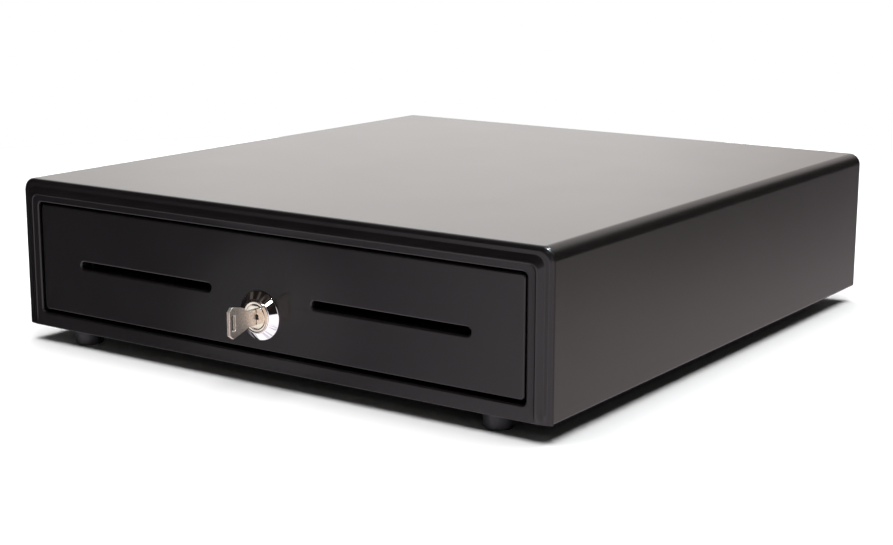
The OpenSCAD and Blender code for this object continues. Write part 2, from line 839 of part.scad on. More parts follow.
// Screws through the tray's front wall into the drawer front
module tray_screws() {
    color(zinc) placed() both_sides() for (p = front_screws) {
        translate([p[0], front_d + tray_t, p[1]]) rotate([90, 0, 0]) pan_screw(7, 1.35, 2.8, 1.8);
    }
}

// Bracket on the tray's back wall with the pin that the latch lever hooks
module striker() {
    color(chrome) placed() {
        block([-14, tray_back, 14], [14, tray_back + 1.2, 38]);
        for (z = [19, 30.5]) block([-5, tray_back + 1, z], [5, strike_y + 4.5, z + 1.5]);
        post(0, strike_y, 19.5, 31.5, 2.5);
    }
}

// Flared trim round the lock
module lock_escutcheon() {
    color(chrome) placed() translate([0, -4, lock_z]) rotate([-90, 0, 0]) rotate_extrude($fn = 128) {
        polygon([[9.6, 0], [10.6, 0], [15.3, 3.3], [15.3, 3.9], [9.6, 3.9]]);
    }
}

// Lock barrel with its front lip
module lock_body() {
    color(nickel) placed() difference() {
        union() {
            rod_y_axis(0, lock_z, lock_front, 26, barrel_r);
            rod_y_axis(0, lock_z, lock_front, -4, 10.2);
        }
        rod_y_axis(0, lock_z, lock_front - 1, 27, plug_r + run_gap);
    }
}

// Hexagon nut that clamps the barrel behind the drawer front
module lock_nut() {
    color(zinc) placed() difference() {
        translate([0, front_t + 4.5, lock_z]) rotate([90, 0, 0]) cylinder(h = 4.4, r = 13, $fn = 6);
        rod_y_axis(0, lock_z, front_t - 1, front_t + 6, barrel_r);
    }
}

// Ledges on the tray's side walls that the till rests on
module till_rests() {
    x = tray_x - tray_t;
    color(zinc) placed() both_sides() {
        block([x - 1, 30, till_z - 14], [x, till_back - 4, till_z]);
        block([x - 9, 30, till_z - 1], [x, till_back - 4, till_z]);
    }
}

// X of the middle of each column
function column_x(i) = (i - (till_columns - 1) / 2) * column_w;

// Moulded till: outer walls, a cross wall, and ribs that hold the dividers
module till_body() {
    in_x = till_x - wall_t;
    lip = 1.5;
    color(till_grey) placed() difference() {
        union() {
            block([-till_x, till_y, till_z], [till_x, till_back, till_top]);
            block([-till_x - lip, till_y - lip, till_top - 2],
                  [till_x + lip, till_back + lip, till_top + lip]);
        }
        difference() {
            block([-in_x, till_y + wall_t, till_z + wall_t], [in_x, till_back - wall_t, till_top + 3]);
            block([-in_x - 1, cross_y, 0], [in_x + 1, cross_y + wall_t, till_top - 2]);
            for (i = [1:till_columns - 1], s = [-1, 1]) {
                x = column_x(i) - column_w / 2 + s * (divider_t / 2 + 0.9);
                block([x - 0.8, cross_y, 0], [x + 0.8, cross_y + 5, divider_top]);
                block([x - 0.8, till_back - 5, 0], [x + 0.8, till_back, divider_top - 2]);
            }
        }
        rod_x_axis(rod_y, rod_z, -till_x - 2, till_x + 2, rod_r + run_gap);
    }
}

// One coin cup with a scooped floor
module coin_cup(i) {
    y0 = till_y + wall_t + 1;
    y1 = cross_y - 1;
    mid = (y0 + y1) / 2;
    z0 = till_z + wall_t + 0.2;
    scoop_r = 90;
    w = column_w - 2.4;
    translate([column_x(i), 0, 0]) difference() {
        block([-w / 2, y0, z0], [w / 2, y1, divider_top]);
        in_yz(-w / 2 + 1.5, w / 2 - 1.5) intersection() {
            translate([y0 + 1.5, z0 + 1.6]) square([y1 - y0 - 3, 40]);
            translate([mid, z0 + 1.6 + scoop_r]) circle(r = scoop_r, $fn = 180);
        }
    }
}

module coin_cups() {
    color(moulded) placed() for (i = [0:till_columns - 1]) coin_cup(i);
}

// Lift-out walls between the bill compartments
module bill_dividers() {
    color(moulded) placed() for (i = [1:till_columns - 1]) {
        x = column_x(i) - column_w / 2;
        difference() {
            block([x - divider_t / 2, cross_y + wall_t + 0.3, till_z + wall_t + 0.1],
                  [x + divider_t / 2, till_back - wall_t - 0.3, divider_top]);
            in_yz(x - 2, x + 2) translate([(cross_y + till_back) / 2, divider_top]) stadium(90, 20);
        }
    }
}

// Steel rod that the bill clips turn on
module clip_rod() {
    color(zinc) placed() rod_x_axis(rod_y, rod_z, -till_x + 0.5, till_x - 0.5, rod_r);
}

// Bill clip: a hub on the rod and a cranked arm that presses on the notes
module bill_clip(i) {
    color(zinc) placed() translate([column_x(i - 1), 0, 0]) difference() {
        union() {
            rod_x_axis(rod_y, rod_z, -13, 13, 3.4);
            in_yz(-11, 11) translate([rod_y, rod_z]) polygon([
                [-2, 2.6], [-34, -5], [-74, -22.4], [-84, -25.6], [-96, -23.4],
                [-96, -25], [-84, -27.6], [-73, -24.2], [-33, -6.8], [-2, 0.4]
            ]);
        }
        rod_x_axis(rod_y, rod_z, -14, 14, rod_r + run_gap);
    }
}

module bill_clip_1() { bill_clip(1); }
module bill_clip_2() { bill_clip(2); }
module bill_clip_3() { bill_clip(3); }
module bill_clip_4() { bill_clip(4); }
module bill_clip_5() { bill_clip(5); }

// ---------- lock plug and key ----------

// Turning plug with its keyway and a square end for the cam
module lock_plug() {
    color(nickel) placed() difference() {
        union() {
            rod_y_axis(0, lock_z, plug_front, plug_back, plug_r);
            block([-3, plug_back - 1, lock_z - 3], [3, plug_back + 2.2, lock_z + 3]);
        }
        block([-keyway_w / 2, plug_front - 1, lock_z - blade_h / 2 - 0.4],
              [keyway_w / 2, 20, lock_z + blade_h / 2 + 0.4]);
        rod_y_axis(0, lock_z, plug_back - 6, plug_back + 3, 1.5);
    }
}

// Cam on the plug's back end; it drops behind the catch when the key is turned
module lock_cam() {
    y0 = plug_back + 0.1;
    color(zinc) placed() difference() {
        in_xz(y0, y0 + 2) translate([0, lock_z]) {
            circle(r = 7, $fn = 64);
            translate([0, -5]) square([cam_reach - 3, 10]);
            translate([cam_reach - 5, 0]) intersection() {
                circle(r = 5, $fn = 48);
                translate([0, -5]) square([5, 10]);
            }
        }
        block([-3.05, y0 - 1, lock_z - 3.05], [3.05, y0 + 3, lock_z + 3.05]);
    }
}

// Screw and washer that hold the cam
module cam_screw() {
    y = plug_back + 2.3;
    color(zinc) placed() translate([0, y, lock_z]) rotate([90, 0, 0]) {
        pan_screw(7, 1.45, 4.6, 2);
    }
}

// Key: a flared bow with a slot for the ring, a shoulder and a cut blade
module key() {
    bow = key_reach;
    shoulder = plug_front - 0.3;
    color(nickel) placed() difference() {
        in_yz(-key_t / 2, key_t / 2) translate([0, lock_z]) difference() {
            polygon([
                [-bow, -7], [-bow, 7.2], [-bow + 2.8, 9.8], [-15.5, 7.6], [-13, 4.9], [shoulder, 4.9],
                [shoulder, blade_h / 2], [16, blade_h / 2], [18.5, 0.5], [16, -blade_h / 2 + 1],
                [14, -blade_h / 2 + 1], [12.4, -1], [10.6, -1], [9, -2.6], [7.6, -2.6], [6, -0.4],
                [4.4, -0.4], [2.8, -2], [1.2, -2], [-0.4, -blade_h / 2], [shoulder, -blade_h / 2],
                [shoulder, -4.9], [-12, -4.9], [-13.2, -5.7], [-bow + 3.4, -9.5]
            ]);
            translate([-bow + 1.8, -4.6]) square([3.4, 9.4]);
        }
        block([key_t / 2 - 0.5, shoulder, lock_z + 0.4], [key_t, 15, lock_z + 1.8]);
    }
}

// ---------- what is drawn ----------

case_cover();
case_base();
rear_panel();
front_bezel();
case_screws();
foot_front_left();
foot_front_right();
foot_rear_left();
foot_rear_right();
foot_screws();
rail_bracket_left();
rail_bracket_right();
rail_outer_left();
rail_outer_right();
rail_rivets();
stop_buffers();
lock_catch();
latch_bracket();
latch_pivot_pin();
latch_spring();
solenoid_frame();
solenoid_coil();
switch_bracket();
switch_body();
switch_screws();
kick_guide();
kick_spring();
kick_cap();
interface_board();
board_spacers();
interface_jack();
wiring_harness();
drawer_front();
drawer_tray();
tray_screws();
rail_inner_left();
rail_inner_right();
striker();
lock_escutcheon();
lock_body();
lock_nut();
till_rests();
till_body();
coin_cups();
bill_dividers();
clip_rod();
lock_plug();
lock_cam();
cam_screw();
key();
latch_lever();
solenoid_plunger();
switch_lever();
rail_cage_left();
rail_cage_right();
bill_clip_1();
bill_clip_2();
bill_clip_3();
bill_clip_4();
bill_clip_5();
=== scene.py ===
"""Looks of the cash drawer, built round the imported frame.

Everything is in metres, in the frame's own axes: X is the width, +Y runs from the drawer's face to
the back panel, +Z is up. mm() turns a point given in millimetres from the drawer's face and the
case's underside into that frame, so the numbers here read like the design's own.
"""

import json
import math

import bmesh
import bpy
from mathutils import Matrix, Vector


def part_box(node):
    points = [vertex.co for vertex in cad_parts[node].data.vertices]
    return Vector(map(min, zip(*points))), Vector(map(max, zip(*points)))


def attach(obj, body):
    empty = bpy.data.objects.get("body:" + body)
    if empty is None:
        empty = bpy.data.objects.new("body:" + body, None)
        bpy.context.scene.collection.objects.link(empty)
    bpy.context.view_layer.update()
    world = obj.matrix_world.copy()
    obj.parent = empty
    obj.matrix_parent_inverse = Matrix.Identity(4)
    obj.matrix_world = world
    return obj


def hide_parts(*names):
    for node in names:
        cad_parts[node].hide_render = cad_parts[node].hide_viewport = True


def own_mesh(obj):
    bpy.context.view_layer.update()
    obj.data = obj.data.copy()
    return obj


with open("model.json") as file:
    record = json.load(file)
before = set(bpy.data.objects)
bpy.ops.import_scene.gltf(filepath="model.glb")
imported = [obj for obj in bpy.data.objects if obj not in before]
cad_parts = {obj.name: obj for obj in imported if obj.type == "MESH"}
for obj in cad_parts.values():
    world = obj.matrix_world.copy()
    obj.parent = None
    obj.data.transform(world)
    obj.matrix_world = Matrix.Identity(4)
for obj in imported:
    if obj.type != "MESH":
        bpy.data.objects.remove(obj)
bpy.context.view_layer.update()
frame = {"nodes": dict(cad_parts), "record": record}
nodes = frame["nodes"]

MM = 0.001
FACE_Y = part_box("drawer_front")[0].y
UNDERSIDE_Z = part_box("case_cover")[0].z
COVER_LOW, COVER_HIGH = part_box("case_cover")
CASE_W = (COVER_HIGH.x - COVER_LOW.x) / MM
CASE_D = (COVER_HIGH.y - FACE_Y) / MM
CASE_H = (COVER_HIGH.z - COVER_LOW.z) / MM
COVER_FRONT = (COVER_LOW.y - FACE_Y) / MM
LOCK_Z = (sum(corner.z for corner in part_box("lock_body")) / 2 - UNDERSIDE_Z) / MM


def mm(x, y, z):
    """A point in millimetres from the middle of the drawer's face, at the case's underside."""
    return Vector((x * MM, FACE_Y + y * MM, UNDERSIDE_Z + z * MM))


# ---------- meshes ----------

def finish_mesh(name, bm, smooth_deg=35):
    """Turns a bmesh into an object with smooth faces and crisp edges."""
    bmesh.ops.remove_doubles(bm, verts=bm.verts, dist=1e-7)
    bmesh.ops.recalc_face_normals(bm, faces=bm.faces)
    mesh = bpy.data.meshes.new(name)
    bm.to_mesh(mesh)
    bm.free()
    mesh.shade_smooth()
    mesh.set_sharp_from_angle(angle=math.radians(smooth_deg))
    piece = bpy.data.objects.new(name, mesh)
    bpy.context.scene.collection.objects.link(piece)
    piece.modifiers.new("normals", "WEIGHTED_NORMAL").keep_sharp = True
    return piece


def skin(name, rings, smooth_deg, wrap=False):
    """Joins closed rings of points with faces. wrap joins the last ring to the first; without it both
    of them get end caps."""
    bm = bmesh.new()
    rows = [[bm.verts.new(point) for point in ring] for ring in rings]
    count = len(rings[0])
    for a in range(len(rows) if wrap else len(rows) - 1):
        upper, lower = rows[a], rows[(a + 1) % len(rows)]
        for k in range(count):
            nxt = (k + 1) % count
            bm.faces.new((upper[k], upper[nxt], lower[nxt], lower[k]))
    if not wrap:
        bm.faces.new(rows[0])
        bm.faces.new(rows[-1])
    return finish_mesh(name, bm, smooth_deg)


def arc(cx, cy, r, start, stop, steps):
    """Points along an arc, angles in degrees."""
    angles = [math.radians(start + (stop - start) * k / steps) for k in range(steps + 1)]
    return [(cx + r * math.cos(a), cy + r * math.sin(a)) for a in angles]


def rounded_rect(x0, x1, z0, z1, r, steps=10):
    """Closed outline, anticlockwise from the right side's lower corner."""
    return (arc(x1 - r, z0 + r, r, -90, 0, steps) + arc(x1 - r, z1 - r, r, 0, 90, steps)
            + arc(x0 + r, z1 - r, r, 90, 180, steps) + arc(x0 + r, z0 + r, r, 180, 270, steps))


def stadium(cx, cz, length, height):
    """Closed outline of a slot with round ends."""
    r, steps = height / 2, 14
    half = length / 2 - r
    return arc(cx + half, cz, r, -90, 90, steps) + arc(cx - half, cz, r, 90, 270, steps)


def slab(name, outlines, thickness, bevel, place, rotation=None, bevel_steps=4):
    """Flat piece with rounded edges: the first outline is its edge, the others are holes.
    Outlines are in millimetres and the piece lies between 0 and thickness along its own Z."""
    curve = bpy.data.curves.new(name, "CURVE")
    curve.dimensions = "2D"
    curve.fill_mode = "BOTH"
    curve.extrude = (thickness / 2 - bevel) * MM
    curve.bevel_depth = bevel * MM
    curve.bevel_resolution = bevel_steps
    curve.offset = -bevel * MM
    for outline in outlines:
        spline = curve.splines.new("POLY")
        spline.points.add(len(outline) - 1)
        spline.use_cyclic_u = True
        for point, (u, v) in zip(spline.points, outline):
            point.co = (u * MM, v * MM, 0, 1)
    holder = bpy.data.objects.new(name + "_curve", curve)
    bpy.context.scene.collection.objects.link(holder)
    bpy.context.view_layer.update()
    evaluated = holder.evaluated_get(bpy.context.evaluated_depsgraph_get())
    bm = bmesh.new()
    bm.from_mesh(evaluated.to_mesh())
    evaluated.to_mesh_clear()
    bpy.data.objects.remove(holder)
    bpy.data.curves.remove(curve)
    move = Matrix.Translation(place) @ (rotation or Matrix.Identity(4))
    bmesh.ops.transform(bm, matrix=move @ Matrix.Translation((0, 0, thickness / 2 * MM)), verts=bm.verts)
    bmesh.ops.remove_doubles(bm, verts=bm.verts, dist=1e-6)
    return finish_mesh(name, bm, 30)


# Turns a slab's own X, Y, Z into the frame's X, Z and -Y, so that it faces the user
FACING_USER = Matrix(((1, 0, 0, 0), (0, 0, -1, 0), (0, 1, 0, 0), (0, 0, 0, 1)))
# Turns a slab's own X, Y, Z into the frame's Y, Z and X
FACING_RIGHT = Matrix(((0, 0, 1, 0), (1, 0, 0, 0), (0, 1, 0, 0), (0, 0, 0, 1)))


def lathe(name, profile, centre, axis="y", steps=96):
    """Turned piece: profile is (radius, distance along the axis) in millimetres from centre. A profile
    that ends where it starts is a closed ring, and another one gets end caps."""
    order = {"x": (2, 0, 1), "y": (0, 2, 1), "z": (0, 1, 2)}[axis]
    rings = []
    for r, d in profile:
        ring = []
        for k in range(steps):
            a = 2 * math.pi * k / steps
            point = (r * MM * math.cos(a), r * MM * math.sin(a), d * MM)
            ring.append(centre + Vector([point[part] for part in order]))
        rings.append(ring)
    closed = profile[0] == profile[-1]
    return skin(name, rings[:-1] if closed else rings, smooth_deg=30, wrap=closed)


def tube(name, path, radius, sides=12):
    """Wire with round ends along points in the frame; radius in millimetres."""
    r, last, across = radius * MM, len(path) - 1, None
    frames = []
    for k, point in enumerate(path):
        ahead = (path[min(k + 1, last)] - path[max(k - 1, 0)]).normalized()
        across = ahead.orthogonal() if across is None else across - ahead * across.dot(ahead)
        across.normalize()
        frames.append((point, ahead, across, 1.0))
    caps = [math.radians(angle) for angle in (85, 60, 30)]
    first, final = frames[0], frames[-1]
    start = [(first[0] - first[1] * r * math.sin(a), *first[1:3], math.cos(a)) for a in caps]
    stop = [(final[0] + final[1] * r * math.sin(a), *final[1:3], math.cos(a)) for a in reversed(caps)]
    rings = []
    for point, ahead, across, scale in start + frames + stop:
        up = ahead.cross(across)
        turns = [2 * math.pi * k / sides for k in range(sides)]
        rings.append([point + (across * math.cos(a) + up * math.sin(a)) * r * scale for a in turns])
    return skin(name, rings, smooth_deg=70)


def helix(start, stop, radius, turns, wire):
    """Points of a coil from start to stop with a closed turn at each end. radius is to the middle of the
    wire, and wire is how far a closed turn advances, both in millimetres."""
    steps = 24
    axis = stop - start
    along = axis.normalized()
    u = along.orthogonal().normalized()
    v = along.cross(u)
    closed = wire * MM
    points = []
    for k in range(int(turns * steps) + 1):
        turn = k / steps
        if turn < 1:
            d = turn * closed
        elif turn > turns - 1:
            d = axis.length - (turns - turn) * closed
        else:
            d = closed + (turn - 1) / (turns - 2) * (axis.length - 2 * closed)
        a = 2 * math.pi * turn
        points.append(start + along * d + (u * math.cos(a) + v * math.sin(a)) * radius * MM)
    return points


def smooth_path(points, steps):
    """Catmull-Rom curve through points, with steps points from each one to the next."""
    padded = [points[0] * 2 - points[1], *points, points[-1] * 2 - points[-2]]
    path = []
    for a, b, c, d in zip(padded, padded[1:], padded[2:], padded[3:]):
        for k in range(steps):
            t = k / steps
            path.append(0.5 * (2 * b + (c - a) * t + (2 * a - 5 * b + 4 * c - d) * t * t
                               + (3 * b - a - 3 * c + d) * t ** 3))
    return path + [points[-1]]


def block(name, low, high, bevel):
    """Rounded box between two corners in millimetres."""
    outline = rounded_rect(low[0], high[0], low[1], high[1], max(bevel * 1.6, 0.3), 5)
    return slab(name, [outline], high[2] - low[2], bevel, mm(0, 0, low[2]), bevel_steps=3)


def soften(name, width, material):
    """Gives a CAD node's sharp edges a small radius, and the node its material."""
    node = nodes[name]
    weld = node.modifiers.new("weld", "WELD")
    weld.merge_threshold = 2e-6
    flat = node.modifiers.new("flat", "DECIMATE")
    flat.decimate_type = "DISSOLVE"
    flat.angle_limit = math.radians(0.5)
    edge = node.modifiers.new("edge", "BEVEL")
    edge.width = width * MM
    edge.segments = 2
    edge.limit_method = "ANGLE"
    edge.angle_limit = math.radians(40)
    node.modifiers.new("normals", "WEIGHTED_NORMAL")
    for slot in node.material_slots:
        slot.material = material


def dress(piece, body, material, slot, *replaced):
    """Gives a new piece its material, its body and the nodes it stands for; its slot argument is not used.
    """
    piece.data.materials.clear()
    piece.data.materials.append(material)
    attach(piece, body)
    if replaced:
        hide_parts(*replaced)


# ---------- materials ----------

class NodeTree:
    """Adds nodes to self.tree."""

    def node(self, kind, **settings):
        node = self.tree.nodes.new(kind)
        for key, value in settings.items():
            setattr(node, key, value)
        return node


class Paint(NodeTree):
    """A material with a Principled shader, and short ways to add texture nodes to it."""

    def __init__(self, name, colour, roughness, metallic=0.0, **sockets):
        self.material = bpy.data.materials.new(name)
        self.material.use_nodes = True
        self.tree = self.material.node_tree
        self.shader = self.tree.nodes["Principled BSDF"]
        self.shader.inputs["Base Color"].default_value = (*colour, 1)
        self.shader.inputs["Roughness"].default_value = roughness
        self.shader.inputs["Metallic"].default_value = metallic
        for socket, value in sockets.items():
            self.shader.inputs[socket.replace("_", " ")].default_value = value
        self.colour = colour
        self.place = self.node("ShaderNodeTexCoord").outputs["Object"]
        self.normal = None

    def link(self, source, target):
        self.tree.links.new(source, target)

    def stretched(self, x, y, z):
        """Object coordinates scaled along each axis."""
        mapping = self.node("ShaderNodeMapping")
        mapping.inputs["Scale"].default_value = (x, y, z)
        self.link(self.place, mapping.inputs["Vector"])
        return mapping.outputs["Vector"]

    def noise(self, size_mm, detail, vector=None):
        """Noise whose features are about size_mm across."""
        node = self.node("ShaderNodeTexNoise")
        node.inputs["Scale"].default_value = 1 / (size_mm * MM)
        node.inputs["Detail"].default_value = detail
        self.link(vector or self.place, node.inputs["Vector"])
        return node.outputs["Fac"]

    def spread(self, value, low, high, out_low, out_high):
        """Maps a value from one range to another, and clamps it."""
        node = self.node("ShaderNodeMapRange")
        sockets = ("From Min", "From Max", "To Min", "To Max")
        for socket, number in zip(sockets, (low, high, out_low, out_high)):
            node.inputs[socket].default_value = number
        self.link(value, node.inputs["Value"])
        return node.outputs["Result"]

    def vary_colour(self, value, colour, low=0.35, high=0.65):
        """Blends from the colour so far to another colour as value goes from low to high."""
        mix = self.node("ShaderNodeMix", data_type="RGBA")
        socket = self.shader.inputs["Base Color"]
        if socket.is_linked:
            self.link(socket.links[0].from_socket, mix.inputs["A"])
        else:
            mix.inputs["A"].default_value = (*self.colour, 1)
        mix.inputs["B"].default_value = (*colour, 1)
        self.link(self.spread(value, low, high, 0, 1), mix.inputs["Factor"])
        self.link(mix.outputs["Result"], socket)

    def vary_roughness(self, value, low, high):
        """Roughness that follows value, from low to high."""
        self.link(self.spread(value, 0.3, 0.7, low, high), self.shader.inputs["Roughness"])

    def bump(self, height, depth_mm, strength=1.0):
        """Adds surface relief; calls stack up."""
        node = self.node("ShaderNodeBump")
        node.inputs["Distance"].default_value = depth_mm * MM
        node.inputs["Strength"].default_value = strength
        self.link(height, node.inputs["Height"])
        if self.normal:
            self.link(self.normal, node.inputs["Normal"])
        self.normal = node.outputs["Normal"]
        self.link(self.normal, self.shader.inputs["Normal"])


def powder_coat():
    """Satin black powder coat: a fine grain over a faint orange peel, with slightly dusty patches."""
    paint = Paint("black_powder_coat", (0.007, 0.0062, 0.006), 0.24, Specular_IOR_Level=0.5)
    paint.vary_colour(paint.noise(70, 3), (0.0095, 0.0083, 0.008))
    paint.vary_roughness(paint.noise(60, 3), 0.237, 0.246)
    paint.bump(paint.noise(4.5, 1), 0.008, 0.5)
    paint.bump(paint.noise(1.0, 2), 0.005, 0.7)
    return paint.material


def moulding():
    """Black ABS with a fine spark-eroded grain, and a little shine of its own on the edges."""
    paint = Paint("black_moulded_plastic", (0.0045, 0.0036, 0.0042), 0.31,
                  Specular_IOR_Level=0.36, Coat_Weight=0.2, Coat_Roughness=0.07)
    paint.vary_colour(paint.noise(55, 2), (0.0062, 0.0051, 0.0058))
    paint.vary_roughness(paint.noise(30, 3), 0.3, 0.33)
    paint.bump(paint.noise(1.1, 2), 0.009, 0.8)
    return paint.material


def mirror_chrome():
    """Bright chrome plate with faint polishing waves."""
    paint = Paint("mirror_chrome", (0.87, 0.87, 0.875), 0.04, metallic=1.0)
    paint.vary_roughness(paint.noise(6, 3), 0.025, 0.07)
    paint.bump(paint.noise(5, 1), 0.01, 0.3)
    return paint.material


def turned_nickel():
    """Nickel plate with the fine circles of a lathe round the lock's axis."""
    paint = Paint("turned_nickel", (0.86, 0.81, 0.71), 0.1, metallic=1.0)
    paint.vary_colour(paint.noise(5, 3), (0.78, 0.72, 0.61))
    paint.vary_roughness(paint.noise(3, 4), 0.07, 0.14)
    centre = paint.node("ShaderNodeVectorMath", operation="SUBTRACT")
    paint.link(paint.place, centre.inputs[0])
    centre.inputs[1].default_value = mm(0, 0, LOCK_Z)
    wave = paint.node("ShaderNodeTexWave", wave_type="RINGS", rings_direction="Y")
    wave.inputs["Scale"].default_value = 900
    paint.link(centre.outputs["Vector"], wave.inputs["Vector"])
    paint.bump(wave.outputs["Fac"], 0.004, 0.25)
    return paint.material


def key_metal():
    """Stamped nickel silver: dull tan faces with fine draw marks and a few scratches."""
    paint = Paint("key_nickel_silver", (0.88, 0.80, 0.69), 0.42, metallic=1.0)
    paint.vary_colour(paint.noise(1.2, 4), (0.64, 0.57, 0.48))
    grain = paint.noise(0.3, 3, vector=paint.stretched(1, 0.3, 1))
    paint.vary_roughness(grain, 0.36, 0.55)
    paint.bump(grain, 0.012, 0.4)
    return paint.material


def foot_rubber():
    """Dark rubber with a chalky bloom and moulded grain."""
    paint = Paint("foot_rubber", (0.022, 0.021, 0.024), 0.55, Specular_IOR_Level=0.5)
    paint.vary_colour(paint.noise(4, 4), (0.034, 0.033, 0.037))
    paint.vary_roughness(paint.noise(2.5, 3), 0.45, 0.68)
    paint.bump(paint.noise(0.3, 2), 0.015, 0.5)
    return paint.material


def zinc_plate():
    """Zinc plated sheet with a soft spangle and rolling marks along its length."""
    paint = Paint("zinc_plate", (0.56, 0.57, 0.57), 0.36, metallic=1.0)
    spangle = paint.node("ShaderNodeTexVoronoi")
    spangle.inputs["Scale"].default_value = 1 / (9 * MM)
    paint.link(paint.place, spangle.inputs["Vector"])
    paint.vary_colour(spangle.outputs["Distance"], (0.64, 0.65, 0.65), 0.1, 0.7)
    rolling = paint.noise(0.8, 4, vector=paint.stretched(1, 0.04, 1))
    paint.vary_roughness(rolling, 0.28, 0.46)
    paint.bump(rolling, 0.004, 0.3)
    return paint.material


def till_moulding():
    """Dark grey ABS, rubbed a little smoother in streaks by coins and hands."""
    paint = Paint("till_plastic", (0.034, 0.035, 0.038), 0.46, Specular_IOR_Level=0.45)
    paint.vary_colour(paint.noise(35, 3), (0.043, 0.044, 0.047))
    paint.vary_roughness(paint.noise(9, 4, vector=paint.stretched(1, 0.25, 1)), 0.36, 0.52)
    paint.bump(paint.noise(0.5, 2), 0.015, 0.6)
    return paint.material


def steel(name, colour, tint, roughness, grain_mm, along):
    """Bare steel: drawn or ground marks along one axis, and a faint tint in patches."""
    paint = Paint(name, colour, roughness, metallic=1.0)
    paint.vary_colour(paint.noise(7, 3), tint)
    marks = paint.noise(grain_mm, 3, vector=paint.stretched(*along))
    paint.vary_roughness(marks, roughness * 0.7, roughness * 1.4)
    paint.bump(marks, 0.003, 0.3)
    return paint.material


def enamelled_copper():
    """Copper wire under a thin clear enamel."""
    paint = Paint("enamelled_copper", (0.62, 0.22, 0.075), 0.3, metallic=1.0,
                  Coat_Weight=0.5, Coat_Roughness=0.1)
    paint.vary_colour(paint.noise(4, 3), (0.42, 0.13, 0.045))
    paint.vary_roughness(paint.noise(1.2, 3), 0.22, 0.4)
    return paint.material


def circuit_board():
    """Green solder mask with tracks standing a little proud under it."""
    paint = Paint("circuit_board", (0.008, 0.075, 0.03), 0.34, Coat_Weight=0.3, Coat_Roughness=0.15)
    tracks = paint.node("ShaderNodeTexBrick")
    tracks.offset = 0.37
    for socket, value in (("Scale", 1 / (7 * MM)), ("Mortar Size", 0.02), ("Mortar Smooth", 0.6),
                          ("Brick Width", 2.3), ("Row Height", 0.19)):
        tracks.inputs[socket].default_value = value
    paint.link(paint.place, tracks.inputs["Vector"])
    paint.vary_colour(tracks.outputs["Fac"], (0.012, 0.10, 0.042), 0.2, 0.8)
    paint.vary_roughness(paint.noise(3, 3), 0.28, 0.42)
    paint.bump(tracks.outputs["Fac"], 0.03, 0.6)
    return paint.material


def lead_cover(name, colour):
    """Soft PVC insulation."""
    paint = Paint(name, colour, 0.42, Specular_IOR_Level=0.5)
    paint.vary_colour(paint.noise(6, 2), tuple(channel * 1.35 for channel in colour))
    paint.vary_roughness(paint.noise(2, 3), 0.34, 0.5)
    paint.bump(paint.noise(0.6, 2), 0.01, 0.4)
    return paint.material


black_paint = powder_coat()
black_plastic = moulding()
chrome = mirror_chrome()
nickel = turned_nickel()
key_silver = key_metal()
rubber = foot_rubber()
zinc = zinc_plate()
till_grey = till_moulding()
bright_steel = steel("bright_steel", (0.62, 0.615, 0.6), (0.54, 0.53, 0.52), 0.2, 0.35, (0.2, 1, 1))
spring_steel = steel("spring_steel", (0.33, 0.315, 0.30), (0.24, 0.22, 0.215), 0.28, 0.3, (1, 0.2, 1))
contact_gold = steel("contact_gold", (0.85, 0.60, 0.24), (0.75, 0.50, 0.19), 0.2, 0.3, (1, 0.2, 1))
copper = enamelled_copper()
board_green = circuit_board()
black_lead = lead_cover("black_lead", (0.014, 0.014, 0.015))
red_lead = lead_cover("red_lead", (0.30, 0.014, 0.010))
LOOKS = {
    "black_paint": black_paint, "black_moulding": black_plastic, "chrome": chrome, "nickel": nickel,
    "foot_rubber": rubber, "zinc_plate": zinc, "till_plastic": till_grey, "bright_steel": bright_steel,
    "spring_steel": spring_steel, "copper_winding": copper, "board_green": board_green,
}


# ---------- stage ----------

def camera():
    """The photograph's view: from the front right and a little above."""
    azimuth, elevation, roll = math.radians(34.79), math.radians(12.14), math.radians(0.17)
    eye = mm(663.35, -758.27, 275.53)
    data = bpy.data.cameras.new("camera")
    data.sensor_width = 36
    data.lens = 68.96
    obj = bpy.data.objects.new("camera", data)
    turn = Matrix.Rotation(azimuth, 4, "Z") @ Matrix.Rotation(math.pi / 2 - elevation, 4, "X")
    obj.matrix_world = Matrix.Translation(eye) @ turn @ Matrix.Rotation(roll, 4, "Z")
    bpy.context.scene.collection.objects.link(obj)
    bpy.context.scene.camera = obj


def white_floor():
    """A white disc that the camera sees and that no gloss mirrors."""
    bm = bmesh.new()
    bmesh.ops.create_circle(bm, cap_ends=True, segments=96, radius=1.0)
    floor = finish_mesh("studio_floor", bm)
    paint = Paint("white_floor", (0.93, 0.93, 0.93), 0.9, Specular_IOR_Level=0.0)
    paint.vary_colour(paint.noise(400, 2), (0.92, 0.92, 0.92))
    floor.data.materials.append(paint.material)
    floor.visible_glossy = False


def shade_card():
    """Stands for the shaded floor under the case in what the gloss mirrors, and is seen by nothing else."""
    middle = ((COVER_LOW.x + COVER_HIGH.x) / 2, (FACE_Y + COVER_HIGH.y) / 2, 0.2 * MM)
    bm = bmesh.new()
    bmesh.ops.create_grid(bm, x_segments=1, y_segments=1, size=0.5)
    bmesh.ops.scale(bm, vec=(CASE_W * MM, CASE_D * MM, 1), verts=bm.verts)
    bmesh.ops.translate(bm, vec=middle, verts=bm.verts)
    card = finish_mesh("studio_shade_card", bm)
    paint = Paint("shade_card", (0.001, 0.001, 0.001), 1.0, Specular_IOR_Level=0.0)
    card.data.materials.append(paint.material)
    card.visible_camera = card.visible_diffuse = card.visible_shadow = False


